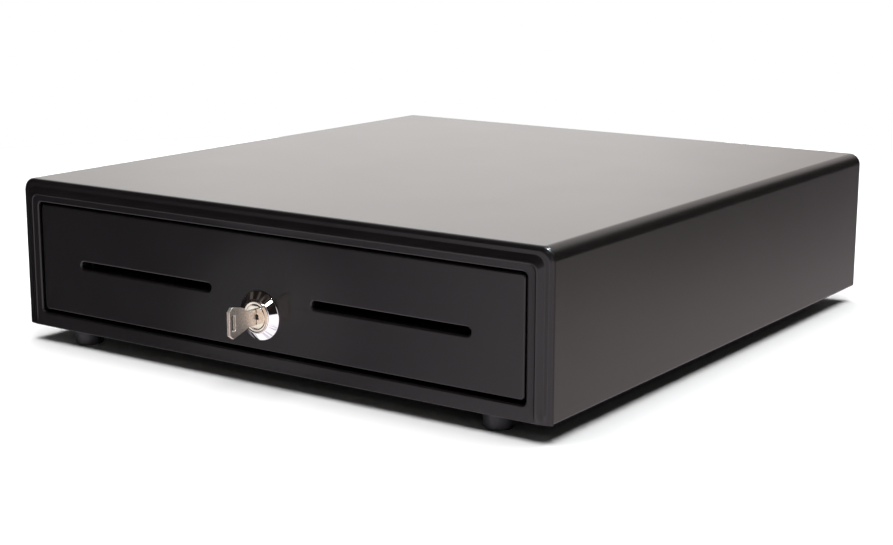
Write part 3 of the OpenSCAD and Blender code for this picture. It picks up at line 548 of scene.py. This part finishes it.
class Room(NodeTree):
    """The world's nodes, and short ways to place soft-edged patches of colour round the object."""

    def __init__(self):
        world = bpy.data.worlds.new("studio")
        bpy.context.scene.world = world
        world.use_nodes = True
        self.tree = world.node_tree
        self.direction = self.node("ShaderNodeTexCoord").outputs["Generated"]
        split = self.node("ShaderNodeSeparateXYZ")
        self.fill(split.inputs[0], self.direction)
        self.axes = split.outputs[:]

    def fill(self, socket, value):
        """Links a socket to another one, or sets its number or colour."""
        if isinstance(value, bpy.types.NodeSocket):
            self.tree.links.new(value, socket)
        else:
            socket.default_value = value

    def step(self, source, low, high):
        """0 below low, 1 above high, and smooth between; low above high turns it round."""
        ramp = self.node("ShaderNodeMapRange", interpolation_type="SMOOTHSTEP")
        for socket, value in (("Value", source), ("From Min", low), ("From Max", high)):
            self.fill(ramp.inputs[socket], value)
        return ramp.outputs["Result"]

    def both(self, *factors):
        """The product of factors: 1 where each of them is 1."""
        product = factors[0]
        for factor in factors[1:]:
            multiply = self.node("ShaderNodeMath", operation="MULTIPLY")
            self.fill(multiply.inputs[0], product)
            self.fill(multiply.inputs[1], factor)
            product = multiply.outputs[0]
        return product

    def mix(self, factor, under, over):
        """The colour under where factor is 0, and the colour over where it is 1."""
        blend = self.node("ShaderNodeMix", data_type="RGBA")
        for socket, value in (("Factor", factor), ("A", under), ("B", over)):
            self.fill(blend.inputs[socket], (*value, 1) if isinstance(value, tuple) else value)
        return blend.outputs["Result"]

    def round_card(self, towards, edge, full):
        """1 inside a round patch of the room, and 0 outside; edge and full are cosines."""
        aim = self.node("ShaderNodeVectorMath", operation="DOT_PRODUCT")
        self.fill(aim.inputs[0], self.direction)
        aim.inputs[1].default_value = towards
        return self.step(aim.outputs["Value"], edge, full)

    def streaks(self):
        """Slow noise round the room."""
        noise = self.node("ShaderNodeTexNoise")
        noise.inputs["Scale"].default_value = 5.0
        noise.inputs["Detail"].default_value = 2.0
        self.fill(noise.inputs["Vector"], self.direction)
        return noise.outputs["Fac"]

    def background(self, colour):
        shader = self.node("ShaderNodeBackground")
        self.fill(shader.inputs["Color"], (*colour, 1) if isinstance(colour, tuple) else colour)
        return shader.outputs[0]

    def choose(self, factor, first, second):
        """One shader where factor is 0, and another where it is 1."""
        shader = self.node("ShaderNodeMixShader")
        for socket, value in zip(shader.inputs, (factor, first, second)):
            self.fill(socket, value)
        return shader.outputs[0]


def room_above(room, streaks):
    """A dark ceiling with brown streaks, a softbox, and a bright backdrop behind to the left."""
    x, y, z = room.axes
    step, both, mix, round_card = room.step, room.both, room.mix, room.round_card
    ceiling = mix(step(streaks, 0.5, 0.75), (0.012, 0.009, 0.009), (0.13, 0.105, 0.09))
    softbox = both(step(y, 0.12, 0.3), step(z, 0.4, 0.6))
    ceiling = mix(softbox, ceiling, (0.62, 0.61, 0.6))
    near_right = both(step(y, -0.2, -0.5), step(x, 0.5, 0.6), step(z, 0.55, 0.4))
    ceiling = mix(near_right, ceiling, (0.8, 0.79, 0.78))
    ceiling = mix(round_card((0.12, -0.84, 0.53), 0.9965, 0.9985), ceiling, (5.0, 4.9, 4.8))
    backdrop = mix(round_card((-0.2, 0.93, 0.3), 0.95, 0.985), (1.45, 1.4, 1.37), (0.82, 0.74, 0.72))
    backdrop = mix(round_card((-0.78, 0.61, 0.14), 0.985, 0.998), backdrop, (1.15, 1.11, 1.08))
    behind = both(step(y, 0.1, 0.5), step(x, 0.2, -0.15), step(z, 0.66, 0.42))
    return mix(behind, ceiling, backdrop)


def room_below(room, streaks, far_right):
    """A pale table, browner at the far right, dark at the front left, with a few brighter cards."""
    x, y, z = room.axes
    step, both, mix, round_card = room.step, room.both, room.mix, room.round_card
    table = mix(far_right, (1.3, 1.17, 1.27), (0.86, 0.765, 0.755))
    strip = both(step(x, -0.33, -0.28), step(x, -0.16, -0.21), step(y, -0.5, -0.8), step(z, -0.55, -0.4))
    table = mix(strip, table, (2.2, 2.15, 2.2))
    front_left = both(step(x, -0.5, -0.62), step(y, 0.45, 0.1), step(z, -0.62, -0.42))
    table = mix(front_left, table, (0.02, 0.018, 0.02))
    underneath = both(step(streaks, 0.5, 0.62), step(z, -0.4, -0.7))
    table = mix(underneath, table, (0.7, 0.71, 0.75))
    in_the_lock = round_card((-0.637, -0.7335, -0.237), 0.9983, 0.9995)
    return mix(in_the_lock, table, (1.15, 1.13, 1.13))


def build_room():
    """The room that the black faces mirror. The camera sees plain white instead of it, and so that the
    floor's shadow stays dark, light that has met a dull surface sees a dark grey."""
    room = Room()
    x, y, z = room.axes
    streaks = room.streaks()
    far_right = room.both(room.step(x, 0.05, 0.4), room.step(y, 0.0, 0.5))

    # The horizon lies lower at the far right
    horizon = room.node("ShaderNodeMath", operation="MULTIPLY_ADD")
    for socket, value in zip(horizon.inputs, (far_right, 0.205, z)):
        room.fill(socket, value)
    above = room.step(horizon.outputs[0], -0.03, 0.03)
    colour = room.mix(above, room_below(room, streaks, far_right), room_above(room, streaks))

    ray = room.node("ShaderNodeLightPath").outputs
    unseen = room.choose(ray["Diffuse Depth"], room.background(colour), room.background((0.03, 0.03, 0.03)))
    shown = room.choose(ray["Is Camera Ray"], unseen, room.background((1, 1, 1)))
    room.fill(room.tree.nodes["World Output"].inputs["Surface"], shown)


def area_light(name, place, target, size, watts, colour):
    """A square light, size metres wide, that the camera doesn't see."""
    data = bpy.data.lights.new(name, "AREA")
    data.shape = "RECTANGLE"
    data.size = data.size_y = size
    data.energy = watts
    data.color = colour
    obj = bpy.data.objects.new(name, data)
    direction = Vector(target) - Vector(place)
    obj.rotation_euler = direction.to_track_quat("-Z", "Y").to_euler()
    obj.location = place
    obj.visible_camera = False
    bpy.context.scene.collection.objects.link(obj)
    return obj


def lights():
    """A wide light over the table, kept out of the gloss, and a small one that only makes glints."""
    overhead = area_light("overhead", (0, 0, 4.0), (0, 0, 0), 5.0, 385, (1, 1, 1))
    overhead.visible_glossy = False
    glint = area_light("glint", (0.55, -0.1, 2.0), (0, -0.1, 0.05), 0.32, 85.0, (0.84, 0.93, 1))
    glint.visible_diffuse = False


camera()
white_floor()
shade_card()
build_room()
lights()
bpy.context.scene.view_settings.view_transform = "Standard"


# ---------- case ----------

# Outside radius of the case's two long bends
BEND_R = 8.0
# Opening of the bezel: half its width, its lower and upper edge, and the radius of its corners
OPEN_X, OPEN_LOW, OPEN_HIGH, OPEN_R = 189.6, 9.4, 84.0, 3.0
# Width of the band across a leg of the bezel that holds the rim, the slope and the ridge
BAND_W = 10.3
# The ridge's section: distance outwards from its middle, and depth behind the drawer's face
RIDGE = [(-0.6, -1.1), (-0.25, -1.24), (0.1, -1.32), (0.5, -1.3), (1.1, -1.16), (1.8, -0.92), (2.5, -0.62),
         (3.3, -0.25), (4.4, 0.3), (4.8, 0.4)]
# Distance from the bezel's outer edge to the middle of the ridge
RIDGE_AT = 9.7
# Depths of the inner frame and of the rim
PROUD, RIM = RIDGE[0][1], RIDGE[-1][1]
# Heights of the rows of points up the rounded lower edge
LOWER_EDGE = [0, 0.1, 0.25, 0.5, 0.8]
# Heights of the rows up the foot of a leg, which turn the opening's lower corner
LEG_ROWS = LOWER_EDGE + [1.2, 1.6, 2.0, 2.4, 2.8, 3.2, 3.7, 4.2, 4.8, 5.4, 6.0, 6.6, 7.2, 8.0, 9.0,
                         10.4, 12.4]


def ridge_depth(away):
    """Depth of the bezel's face at a distance outwards from the middle of its ridge."""
    if away <= RIDGE[0][0]:
        return PROUD
    for (d0, y0), (d1, y1) in zip(RIDGE, RIDGE[1:]):
        if away <= d1:
            return y0 + (y1 - y0) * (away - d0) / (d1 - d0)
    return RIM


def ease(t):
    """0 below 0, 1 above 1, and smooth between."""
    t = min(max(t, 0), 1)
    return t * t * (3 - 2 * t)


def bezel_face(u, z):
    """Depth of the bezel's face at u in from the outer edge and z up. Near the foot of a leg the rim
    fades out, and the outer edge and the lower edge are rounded."""
    outer_r, lower_r = 2.8, LOWER_EDGE[-1]
    fade_low, fade_high = 1.0, 9.5
    face = ridge_depth(RIDGE_AT - u)
    if u < RIDGE_AT - RIDGE[0][0]:
        plain = RIM + (PROUD - RIM) * ease(u / RIDGE_AT)
        face += (plain - face) * ease((fade_high - z) / (fade_high - fade_low))
    rounding = math.sqrt(1 - (1 - min(u / outer_r, 1)) ** 2)
    depth = COVER_FRONT - (COVER_FRONT - face) * rounding
    if z < lower_r:
        depth += (COVER_FRONT - depth) * 0.25 * (1 - math.sqrt(1 - (1 - z / lower_r) ** 2))
    return depth


def bezel_stations():
    """Where the bezel's section is drawn, from the left foot over the top to the right foot: the point
    on the outer edge, the point on the opening's edge, and the direction from that into the frame."""
    side, top = CASE_W / 2, CASE_H
    left = []
    for z in LEG_ROWS:
        a = math.radians(270 - 90 * max(z - LOWER_EDGE[-1], 0) / (LEG_ROWS[-1] - LOWER_EDGE[-1]))
        inner = (-OPEN_X + OPEN_R + OPEN_R * math.cos(a), OPEN_LOW + OPEN_R + OPEN_R * math.sin(a))
        left.append(((-side, z), inner, (math.cos(a), math.sin(a))))
    left += [((-side, z), (-OPEN_X, z), (-1, 0)) for z in (30, 60)]
    for k in range(11):
        a = math.radians(180 - 9 * k)
        outer = (-side + BEND_R + BEND_R * math.cos(a), top - BEND_R + BEND_R * math.sin(a))
        inner = (-OPEN_X + OPEN_R + OPEN_R * math.cos(a), OPEN_HIGH - OPEN_R + OPEN_R * math.sin(a))
        left.append((outer, inner, (math.cos(a), math.sin(a))))
    left += [((x, top), (x, OPEN_HIGH), (0, 1)) for x in (-150, -75, 0)]
    return left + [((-ox, oz), (-ix, iz), (-nx, nz)) for (ox, oz), (ix, iz), (nx, nz) in reversed(left[:-1])]


def bezel():
    """Moulded frame: a rounded outer edge, a low rim, a slope up to a rolled ridge, and a flat inner
    frame. The rim dies out near the foot of each leg, and the bottom bar is plain."""
    side, top = CASE_W / 2, CASE_H
    seam, back, wall = COVER_FRONT - 0.05, 14.0, 2.6
    # Distances in from the outer edge, close together where the section curves
    across = [0, 0.05, 0.2, 0.45, 0.8, 1.25, 1.8, 2.4, 2.8, 3.4, 4.0, 4.6, 4.9, 5.3, 5.9, 6.4, 6.8, 7.2, 7.6,
              7.9, 8.3, 8.6, 8.9, 9.2, 9.4, 9.6, 9.8, 9.95, 10.1, BAND_W]
    # Round the opening's edge and in along its wall: distance into the frame, and depth
    edge = [(1.4, PROUD), (0.9, PROUD), (0.6, PROUD + 0.06), (0.3, PROUD + 0.25), (0.08, PROUD + 0.55),
            (0, PROUD + 0.95), (0, back), (wall, back), (wall, seam)]
    stations = bezel_stations()
    bm = bmesh.new()

    def patch(rows):
        """A skin through rows of points."""
        made = [[bm.verts.new(point) for point in row] for row in rows]
        for upper, lower in zip(made, made[1:]):
            for k in range(len(upper) - 1):
                bm.faces.new((upper[k], upper[k + 1], lower[k + 1], lower[k]))

    def at_seam(point):
        """The point straight behind a point, where the bezel meets the cover."""
        return Vector((point.x, mm(0, seam, 0).y, point.z))

    def band_row(outer, inner):
        """Points across the ridge, level with the leg, or square to the top."""
        (ox, oz), (ix, iz) = outer, inner
        if oz <= LEG_ROWS[-1]:
            return [mm(ox + math.copysign(u, -ox), bezel_face(u, oz), oz) for u in across]
        above = max(oz - (top - BEND_R), 0) / BEND_R
        width = (side - OPEN_X) * (1 - above) + (top - OPEN_HIGH) * above
        points = []
        for u in across:
            t = u / width
            points.append(mm(ox + (ix - ox) * t, bezel_face(u, oz), oz + (iz - oz) * t))
        return points

    def opening_row(start, inner, normal):
        """Points from start round the opening's edge and in along its wall."""
        return [start] + [mm(inner[0] + normal[0] * e, y, inner[1] + normal[1] * e) for e, y in edge]

    rows = [band_row(outer, inner) for outer, inner, _ in stations]
    patch(rows)
    patch([[at_seam(row[0]), row[0]] for row in rows])
    bar = len(LOWER_EDGE) - 1
    patch([opening_row(row[-1], inner, normal) + [at_seam(row[0])]
           for row, (_, inner, normal) in list(zip(rows, stations))[bar:len(rows) - bar]])

    # Bottom bar, its lower edge, and the underside of the whole bezel
    flat_x, plain = side - BAND_W, 2 * BAND_W
    spots = [k / 12 for k in range(-12, 13)]
    patch([opening_row(mm(t * flat_x, PROUD, LOWER_EDGE[-1]), (t * (OPEN_X - OPEN_R), OPEN_LOW), (0, -1))
           + [mm(t * flat_x, seam, 0)] for t in spots])
    patch([[mm(t * flat_x, bezel_face(plain, z), z) for z in LOWER_EDGE] for t in spots])
    patch([[mm(t * flat_x, bezel_face(plain, 0), 0), mm(t * flat_x, seam, 0)] for t in spots])
    for s in (-1, 1):
        patch([[mm(s * (side - u), bezel_face(u, 0), 0), mm(s * (side - u), seam, 0)] for u in across])
    bmesh.ops.remove_doubles(bm, verts=bm.verts, dist=2e-6)
    piece = finish_mesh("bezel_moulding", bm, 50)
    dress(piece, "case", black_plastic, "black_moulding", "front_bezel")


def drawer_face():
    """Drawer front: rounded edges, two media slots that run through it, and the lock's hole."""
    low, high = (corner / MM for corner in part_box("drawer_front"))
    z0, z1 = low.z - UNDERSIDE_Z / MM, high.z - UNDERSIDE_Z / MM
    slot_x, slot_z, slot_l, slot_h = 96.2, 45.3, 112.5, 5.0
    outline = rounded_rect(low.x, high.x, z0, z1, 2.9)
    slots = [stadium(s * slot_x, slot_z, slot_l, slot_h) for s in (-1, 1)]
    hole = arc(0, LOCK_Z, 9.6, 0, 354, 59)
    depth = high.y - low.y
    face = slab("drawer_front_panel", [outline, *slots, hole], depth, 1.3, mm(0, depth, 0), FACING_USER, 6)
    dress(face, "drawer", black_plastic, "black_moulding", "drawer_front")


def lock_trim():
    """Flared escutcheon, turned from brass and chromed."""
    cone = [(9.6, 3.9), (9.6, 0.2), (9.8, 0.0), (10.4, -0.02), (10.75, 0.12), (14.9, 3.0), (15.22, 3.3),
            (15.3, 3.55), (15.3, 3.9), (9.6, 3.9)]
    piece = lathe("lock_escutcheon_cone", cone, mm(0, -4, LOCK_Z), steps=160)
    dress(piece, "drawer", chrome, "chrome", "lock_escutcheon")


def lock_barrel():
    """Barrel with a rounded front lip, and a thread behind the panel."""
    bore, crest, root, thread_start, back = 7.55, 9.45, 9.0, 3.0, 26
    lip = [(bore, back), (bore, -4.3), (7.75, -4.55), (8.0, -4.62), (9.7, -4.62), (10.05, -4.5),
           (10.2, -4.2), (10.2, -4.0), (crest, -4.0), (crest, thread_start)]
    thread = []
    for k in range(21):
        thread += [(crest, thread_start + k), (root, thread_start + k + 0.5)]
    profile = lip + thread + [(9.2, back), (bore, back)]
    piece = lathe("lock_barrel_turned", profile, mm(0, 0, LOCK_Z), steps=128)
    dress(piece, "drawer", nickel, "nickel", "lock_body")


def feet():
    """Four moulded rubber feet with a rounded tread and a screw recess."""
    height, screw_r, tread_r = 12.2, 2.2, 2.0
    profile = [(screw_r, height), (screw_r, 6.5), (4.6, 6.5), (4.6, 0.3), (4.9, 0.0)]
    profile += arc(7.0, tread_r, tread_r, -90, 0, 6)
    profile += [(9.75, 10.2), (9.9, 11.2), (9.9, height), (screw_r, height)]
    for name in ("foot_front_left", "foot_front_right", "foot_rear_left", "foot_rear_right"):
        low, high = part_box(name)
        centre = Vector(((low.x + high.x) / 2, (low.y + high.y) / 2, low.z))
        piece = lathe(name + "_moulded", profile, centre, axis="z", steps=80)
        dress(piece, "case", rubber, "foot_rubber", name)


def key_blank():
    """Key: a stamped bow with chamfered corners and a slot for the ring, a shoulder and a cut blade."""
    reach, front, thick = (FACE_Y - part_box("key")[0].y) / MM, -5.2, 2.4
    top = [(-reach, -7.0), (-reach, 7.2), (-reach + 2.8, 9.8), (-15.5, 7.6), (-14.2, 6.6), (-13.0, 4.9),
           (front, 4.9), (front, 3.5), (16.0, 3.5)]
    cuts = [(18.5, 0.5), (16.0, -2.5), (14.0, -2.5), (12.4, -1.0), (10.6, -1.0), (9.0, -2.6), (7.6, -2.6),
            (6.0, -0.4), (4.4, -0.4), (2.8, -2.0), (1.2, -2.0), (-0.4, -3.5)]
    under = [(front, -3.5), (front, -4.9), (-12.0, -4.9), (-13.2, -5.7), (-reach + 3.4, -9.5)]
    outline = [(y, z + LOCK_Z) for y, z in reversed(top + cuts + under)]
    ring = rounded_rect(-reach + 1.8, -reach + 5.2, LOCK_Z - 4.6, LOCK_Z + 4.8, 0.7, 4)
    piece = slab("key_stamping", [outline, ring], thick, 0.28, mm(-thick / 2, 0, 0), FACING_RIGHT, 3)
    dress(piece, "key", key_silver, "nickel", "key")


def lock_plug_face():
    """Turning plug: its face has the keyway with a ward's notch on one side, and it has a turned tail."""
    low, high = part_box("lock_plug")
    front, back = (low.y - FACE_Y) / MM, (high.y - FACE_Y) / MM
    half_w, half_h, lobe = 1.4, 3.9, 1.5
    keyway = [(-half_w, -half_h), (half_w, -half_h), (half_w, -lobe), (half_w + 1.5, -lobe + 0.2),
              (half_w + 1.7, -0.3), (half_w + 0.7, 0.1), (half_w + 1.6, 0.5), (half_w + 1.3, lobe),
              (half_w, lobe + 0.3), (half_w, half_h), (-half_w, half_h)]
    keyway = [(u, v + LOCK_Z) for u, v in keyway]
    rim = arc(0, LOCK_Z, 7.45, 0, 357, 119)
    deep = 20.0
    face = slab("lock_plug_turned", [rim, keyway], deep - front, 0.18, mm(0, deep, 0), FACING_USER, 2)
    dress(face, "lock_plug", nickel, "nickel", "lock_plug")
    profile = [(0.01, deep), (7.4, deep), (7.4, 26.6), (7.0, 27), (4.1, 27), (4.1, back), (0.01, back)]
    tail = lathe("lock_plug_tail", profile, mm(0, 0, LOCK_Z), steps=64)
    dress(tail, "lock_plug", nickel, "nickel")


def case_cover_sheet():
    """Wrapped cover: one sheet over the top and both sides, with a flange folded in under each side."""
    sheet, fold, half = 1.2, 1.6, CASE_W / 2
    tip = half - sheet - 14
    front, back = COVER_FRONT, COVER_FRONT + (COVER_HIGH.y - COVER_LOW.y) / MM

    def face(depth, inset):
        """One face of the right half of the section, depth in from the outside, and inset at its tip."""
        return ([(tip + inset, depth), (half - fold, depth)]
                + arc(half - fold, fold, fold - depth, -75, 0, 5)
                + arc(half - BEND_R, CASE_H - BEND_R, BEND_R - depth, 0, 90, 20))

    def ring(y, inset):
        """The sheet's section at y, drawn in by inset all round."""
        outer, inner = face(inset, inset), face(sheet - inset, inset)
        outside = outer + [(-x, z) for x, z in reversed(outer)]
        inside = inner + [(-x, z) for x, z in reversed(inner)]
        return [mm(x, y, z) for x, z in outside + inside[::-1]]

    edge = 0.4
    lips = [math.radians(angle) for angle in (0, 30, 60, 90)]
    rings = [ring(front + edge * (1 - math.sin(a)), edge * (1 - math.cos(a))) for a in reversed(lips)]
    rings += [ring(back - edge * (1 - math.sin(a)), edge * (1 - math.cos(a))) for a in lips]
    piece = skin("case_cover_sheet", rings, smooth_deg=40)
    dress(piece, "case", black_paint, "black_paint", "case_cover")


def bill_clip(index):
    """Spring steel clip: its sheet curls round the rod, spreads into a cranked arm and ends round; a
    torsion coil lies on each side of the curl."""
    name = f"bill_clip_{index}"
    low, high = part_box(name)
    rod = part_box("clip_rod")
    middle = Vector(((low.x + high.x) / 2, (rod[0].y + rod[1].y) / 2, (rod[0].z + rod[1].z) / 2))
    curl = arc(0, 0, 2.7, -150, 105, 17)
    arm = [(-6.5, 0.9), (-14, -1.0), (-24, -3.4), (-34, -6.0), (-46, -10.8), (-60, -17.0), (-73, -23.0),
           (-79, -25.5), (-84, -26.5), (-90, -26.0), (-95.6, -24.6)]
    line = smooth_path([Vector((0, y * MM, z * MM)) for y, z in curl + arm], 3)
    thick, reach = 0.45 * MM, line[-1].y
    rings = []
    for k, point in enumerate(line):
        ahead = (line[min(k + 1, len(line) - 1)] - line[max(k - 1, 0)]).normalized()
        normal = Vector((1, 0, 0)).cross(ahead)
        out = -point.y / MM
        half = 4.2 + 6.3 * ease((out - 3) / 14) - 2.5 * ease((out - 30) / 55)
        to_tip = (point.y - reach) / MM
        if to_tip < half:
            half *= max(math.sqrt(max(1 - (1 - to_tip / half) ** 2, 0)), 0.12)
        half *= MM
        section = [(-half, -0.5), (-half + thick, -1), (half - thick, -1), (half, -0.5), (half, 0.5),
                   (half - thick, 1), (-half + thick, 1), (-half, 0.5)]
        rings.append([middle + point + Vector((x, 0, 0)) + normal * n * thick for x, n in section])
    dress(skin(name + "_arm", rings, smooth_deg=50), f"clip_{index}", spring_steel, "spring_steel", name)
    for side, x in (("left", -1), ("right", 1)):
        start = middle + Vector((x * 5.2 * MM, 0, 0))
        stop = middle + Vector((x * 12.4 * MM, 0, 0))
        coil = tube(f"{name}_coil_{side}", helix(start, stop, 2.75, 5, 1.3), 0.62)
        dress(coil, f"clip_{index}", spring_steel, "spring_steel")


def kick_coil():
    """The kicker's compression spring."""
    low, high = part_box("kick_spring")
    middle = (low + high) / 2
    wire = 0.8
    start = Vector((middle.x, low.y + wire * MM, middle.z))
    stop = Vector((middle.x, high.y - wire * MM, middle.z))
    radius = (high.x - low.x) / 2 / MM - wire
    piece = tube("kick_spring_coil", helix(start, stop, radius, 9, 2 * wire), wire)
    dress(piece, "case", spring_steel, "spring_steel", "kick_spring")


def latch_coil():
    """The latch lever's spring: close turns with a hook round the lever's pin and one round the post."""
    low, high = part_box("latch_spring")
    middle = (low + high) / 2
    wire, pin, post = 0.4, mm(-4.79, 402.79, 0), mm(16, 403.4, 0)
    radius = (high.z - low.z) / 2 / MM - wire
    pin.z = post.z = middle.z
    start = Vector((low.x + 2 * MM, middle.y, middle.z))
    stop = Vector((high.x - 2 * MM, middle.y, middle.z))
    coil = helix(start, stop, radius, 12, 2 * wire)
    hooks = []
    for centre, hook_r, opening in ((pin, 1.95, 180), (post, 2.25, 0)):
        turns = arc(0, 0, hook_r, opening - 135, opening + 105, 16)
        hooks.append([centre + Vector((x, y, 0)) * MM for x, y in turns])
    path = hooks[0] + coil + hooks[1][::-1]
    piece = tube("latch_spring_coil", smooth_path(path, 2), wire, 8)
    dress(piece, "case", spring_steel, "spring_steel", "latch_spring")
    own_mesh(piece)


def solenoid_winding():
    """Bobbin with two flanges, and the copper wound on it in even turns."""
    low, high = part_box("solenoid_coil")
    centre = Vector((low.x, (low.y + high.y) / 2, (low.z + high.z) / 2))
    length, flange = (high.x - low.x) / MM, 1.8
    half = [(4.3, 0), (11.2, 0), (11.5, 0.3), (11.5, flange - 0.3), (11.2, flange), (5.4, flange)]
    bobbin = half + [(r, length - d) for r, d in reversed(half)] + half[:1]
    piece = lathe("solenoid_bobbin", bobbin, centre, "x", 72)
    dress(piece, "case", black_plastic, "black_moulding", "solenoid_coil")
    turns, inside, outside = 44, 5.5, 9.15
    pitch = (length - 2 * flange) / turns
    wound = [(inside, flange), (outside - 0.05, flange)]
    for k in range(turns):
        for step in range(1, 5):
            bulge = math.sin(math.pi * step / 4)
            wound.append((outside + 0.3 * bulge, flange + pitch * (k + step / 4)))
    wound += [(inside, length - flange), (inside, flange)]
    dress(lathe("solenoid_windings", wound, centre, "x", 72), "case", copper, "copper_winding")


def board():
    """Circuit board with a pin header, a relay, two capacitors, a chip and its solder pads."""
    low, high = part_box("interface_board")
    x0, y0, z0 = low.x / MM, (low.y - FACE_Y) / MM, (low.z - UNDERSIDE_Z) / MM
    x1, y1 = high.x / MM, (high.y - FACE_Y) / MM
    thick = 1.6
    top = z0 + thick
    outline = rounded_rect(x0, x1, y0, y1, 1.2, 4)
    holes = [arc(x, y, 1.3, 0, 345, 23) for x in (x0 + 4, x1 - 4) for y in (y0 + 3, y1 - 3)]
    plate = slab("interface_board_plate", [outline, *holes], thick, 0.12, mm(0, 0, z0))
    dress(plate, "case", board_green, "board_green", "interface_board")
    header = block("board_header", (x0 + 4, y0 + 5, top), (x0 + 14, y0 + 13, top + 5.6), 0.4)
    dress(header, "case", till_grey, "till_plastic")
    relay = block("board_relay", (x0 + 20, y0 + 4, top), (x0 + 34, y0 + 11, top + 9), 0.5)
    dress(relay, "case", black_plastic, "black_moulding")
    chip = block("board_chip", (x0 + 22, y0 + 15, top + 0.3), (x0 + 32, y0 + 19, top + 1.9), 0.15)
    dress(chip, "case", black_plastic, "black_moulding")
    can = [(0.01, 7.7), (1.7, 7.7), (1.75, 7.9), (2.2, 7.9), (2.38, 7.7), (2.4, 7.4), (2.4, 1.4), (2.2, 1.1),
           (2.2, 0.8), (2.4, 0.5), (2.4, 0), (0.01, 0)]
    for k, x in enumerate((x0 + 40, x0 + 46)):
        capacitor = lathe(f"board_capacitor_{k + 1}", can, mm(x, y0 + 8, top), "z", 32)
        dress(capacitor, "case", black_lead, "black_moulding")
    bm = bmesh.new()

    def pad(x, y, z, w, d, h):
        """A small block of metal round a point."""
        made = bmesh.ops.create_cube(bm, size=1.0)["verts"]
        bmesh.ops.scale(bm, vec=(w * MM, d * MM, h * MM), verts=made)
        bmesh.ops.translate(bm, vec=mm(x, y, z), verts=made)

    for k in range(4):
        pad(x0 + 5.3 + k * 2.5, y0 + 9, top + 3.5, 0.7, 0.7, 7.0)
    for k in range(5):
        for y in (y0 + 14.4, y0 + 19.6):
            pad(x0 + 23 + k * 2, y, top + 0.35, 0.5, 1.4, 0.5)
    for k in range(6):
        pad(x0 + 38 + k * 2.6, y0 + 14, top + 0.25, 1.5, 0.9, 0.5)
    bmesh.ops.bevel(bm, geom=bm.edges[:], offset=0.08 * MM, segments=1, affect="EDGES")
    dress(finish_mesh("board_pins", bm), "case", contact_gold, "bright_steel")


# The two runs of the harness, in millimetres
SOLENOID_ROUTE = [
    (99.6, 400, 19.5), (95, 400.6, 19.2), (89, 404, 17), (83, 410, 13), (76, 417, 10), (66, 422.6, 9),
    (54, 424.4, 9), (38, 424.4, 9), (20, 424.4, 9), (2, 424.4, 9), (-16, 424.4, 9), (-30, 424, 9),
    (-40, 421, 10), (-48, 416.6, 13), (-53, 412.6, 18), (-55, 410, 24), (-55, 408.4, 29),
]
SWITCH_ROUTE = [
    (107, 399, 24), (106.8, 399, 26.5), (106, 398.8, 29), (104.6, 398, 31), (102.6, 396.4, 32.6),
    (101, 394.8, 33.2),
]


def twisted_pair(line):
    """Two paths that wind round a line, opposite each other."""
    pitch, offset_r = 22 * MM, 0.72 * MM
    travelled = 0.0
    first, second = [], []
    for k, point in enumerate(line):
        ahead = (line[min(k + 1, len(line) - 1)] - line[max(k - 1, 0)]).normalized()
        travelled += (point - line[k - 1]).length if k else 0
        u = ahead.cross(Vector((0.35, 0.8, 0.1))).normalized()
        v = ahead.cross(u)
        a = 2 * math.pi * travelled / pitch
        offset = (u * math.cos(a) + v * math.sin(a)) * offset_r
        first.append(point + offset)
        second.append(point - offset)
    return first, second


def leads():
    """Each run of the harness is a twisted pair, a black lead and a red one."""
    replaced = ["wiring_harness"]
    for run, route in (("solenoid", SOLENOID_ROUTE), ("switch", SWITCH_ROUTE)):
        pair = twisted_pair(smooth_path([mm(*point) for point in route], 8))
        for path, colour, look in zip(pair, ("black", "red"), (black_lead, red_lead)):
            dress(tube(f"{run}_lead_{colour}", path, 0.7, 10), "case", look, "foot_rubber", *replaced)
            replaced = []


def jack_contacts():
    """Eight gold wires in the mouth of the jack."""
    low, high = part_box("interface_jack")
    middle, back, pitch = (low.x + high.x) / 2, high.y, 1.02
    wire = [(12.5, 5.2), (8, 6.6), (4.2, 8.2), (3.0, 9.9)]
    for k in range(8):
        x = middle + (k - 3.5) * pitch * MM
        path = [Vector((x, back - d * MM, low.z + h * MM)) for d, h in wire]
        piece = tube(f"jack_contact_{k + 1}", smooth_path(path, 4), 0.22, 6)
        dress(piece, "case", contact_gold, "bright_steel")


bezel()
drawer_face()
lock_trim()
lock_barrel()
lock_plug_face()
feet()
key_blank()
case_cover_sheet()
for index in range(1, 6):
    bill_clip(index)
kick_coil()
latch_coil()
solenoid_winding()
board()
leads()
jack_contacts()

# Edge radius in millimetres: that of sheet metal, and those of the other CAD nodes
SHEET_EDGE = 0.28
EDGES = {
    "till_body": 0.6, "coin_cups": 0.5, "bill_dividers": 0.5, "kick_cap": 0.6, "stop_buffers": 0.6,
    "lock_nut": 0.5, "solenoid_frame": 0.4, "latch_pivot_pin": 0.4, "solenoid_plunger": 0.4,
    "cam_screw": 0.4, "case_screws": 0.35, "foot_screws": 0.35, "interface_jack": 0.35,
    "switch_lever": 0.12, "board_spacers": 0.15, "rail_cage_left": 0.12, "rail_cage_right": 0.12,
}
for row in frame["record"]["subparts"]:
    soften(row["node"], EDGES.get(row["node"], SHEET_EDGE), LOOKS[row["material_slot"]])
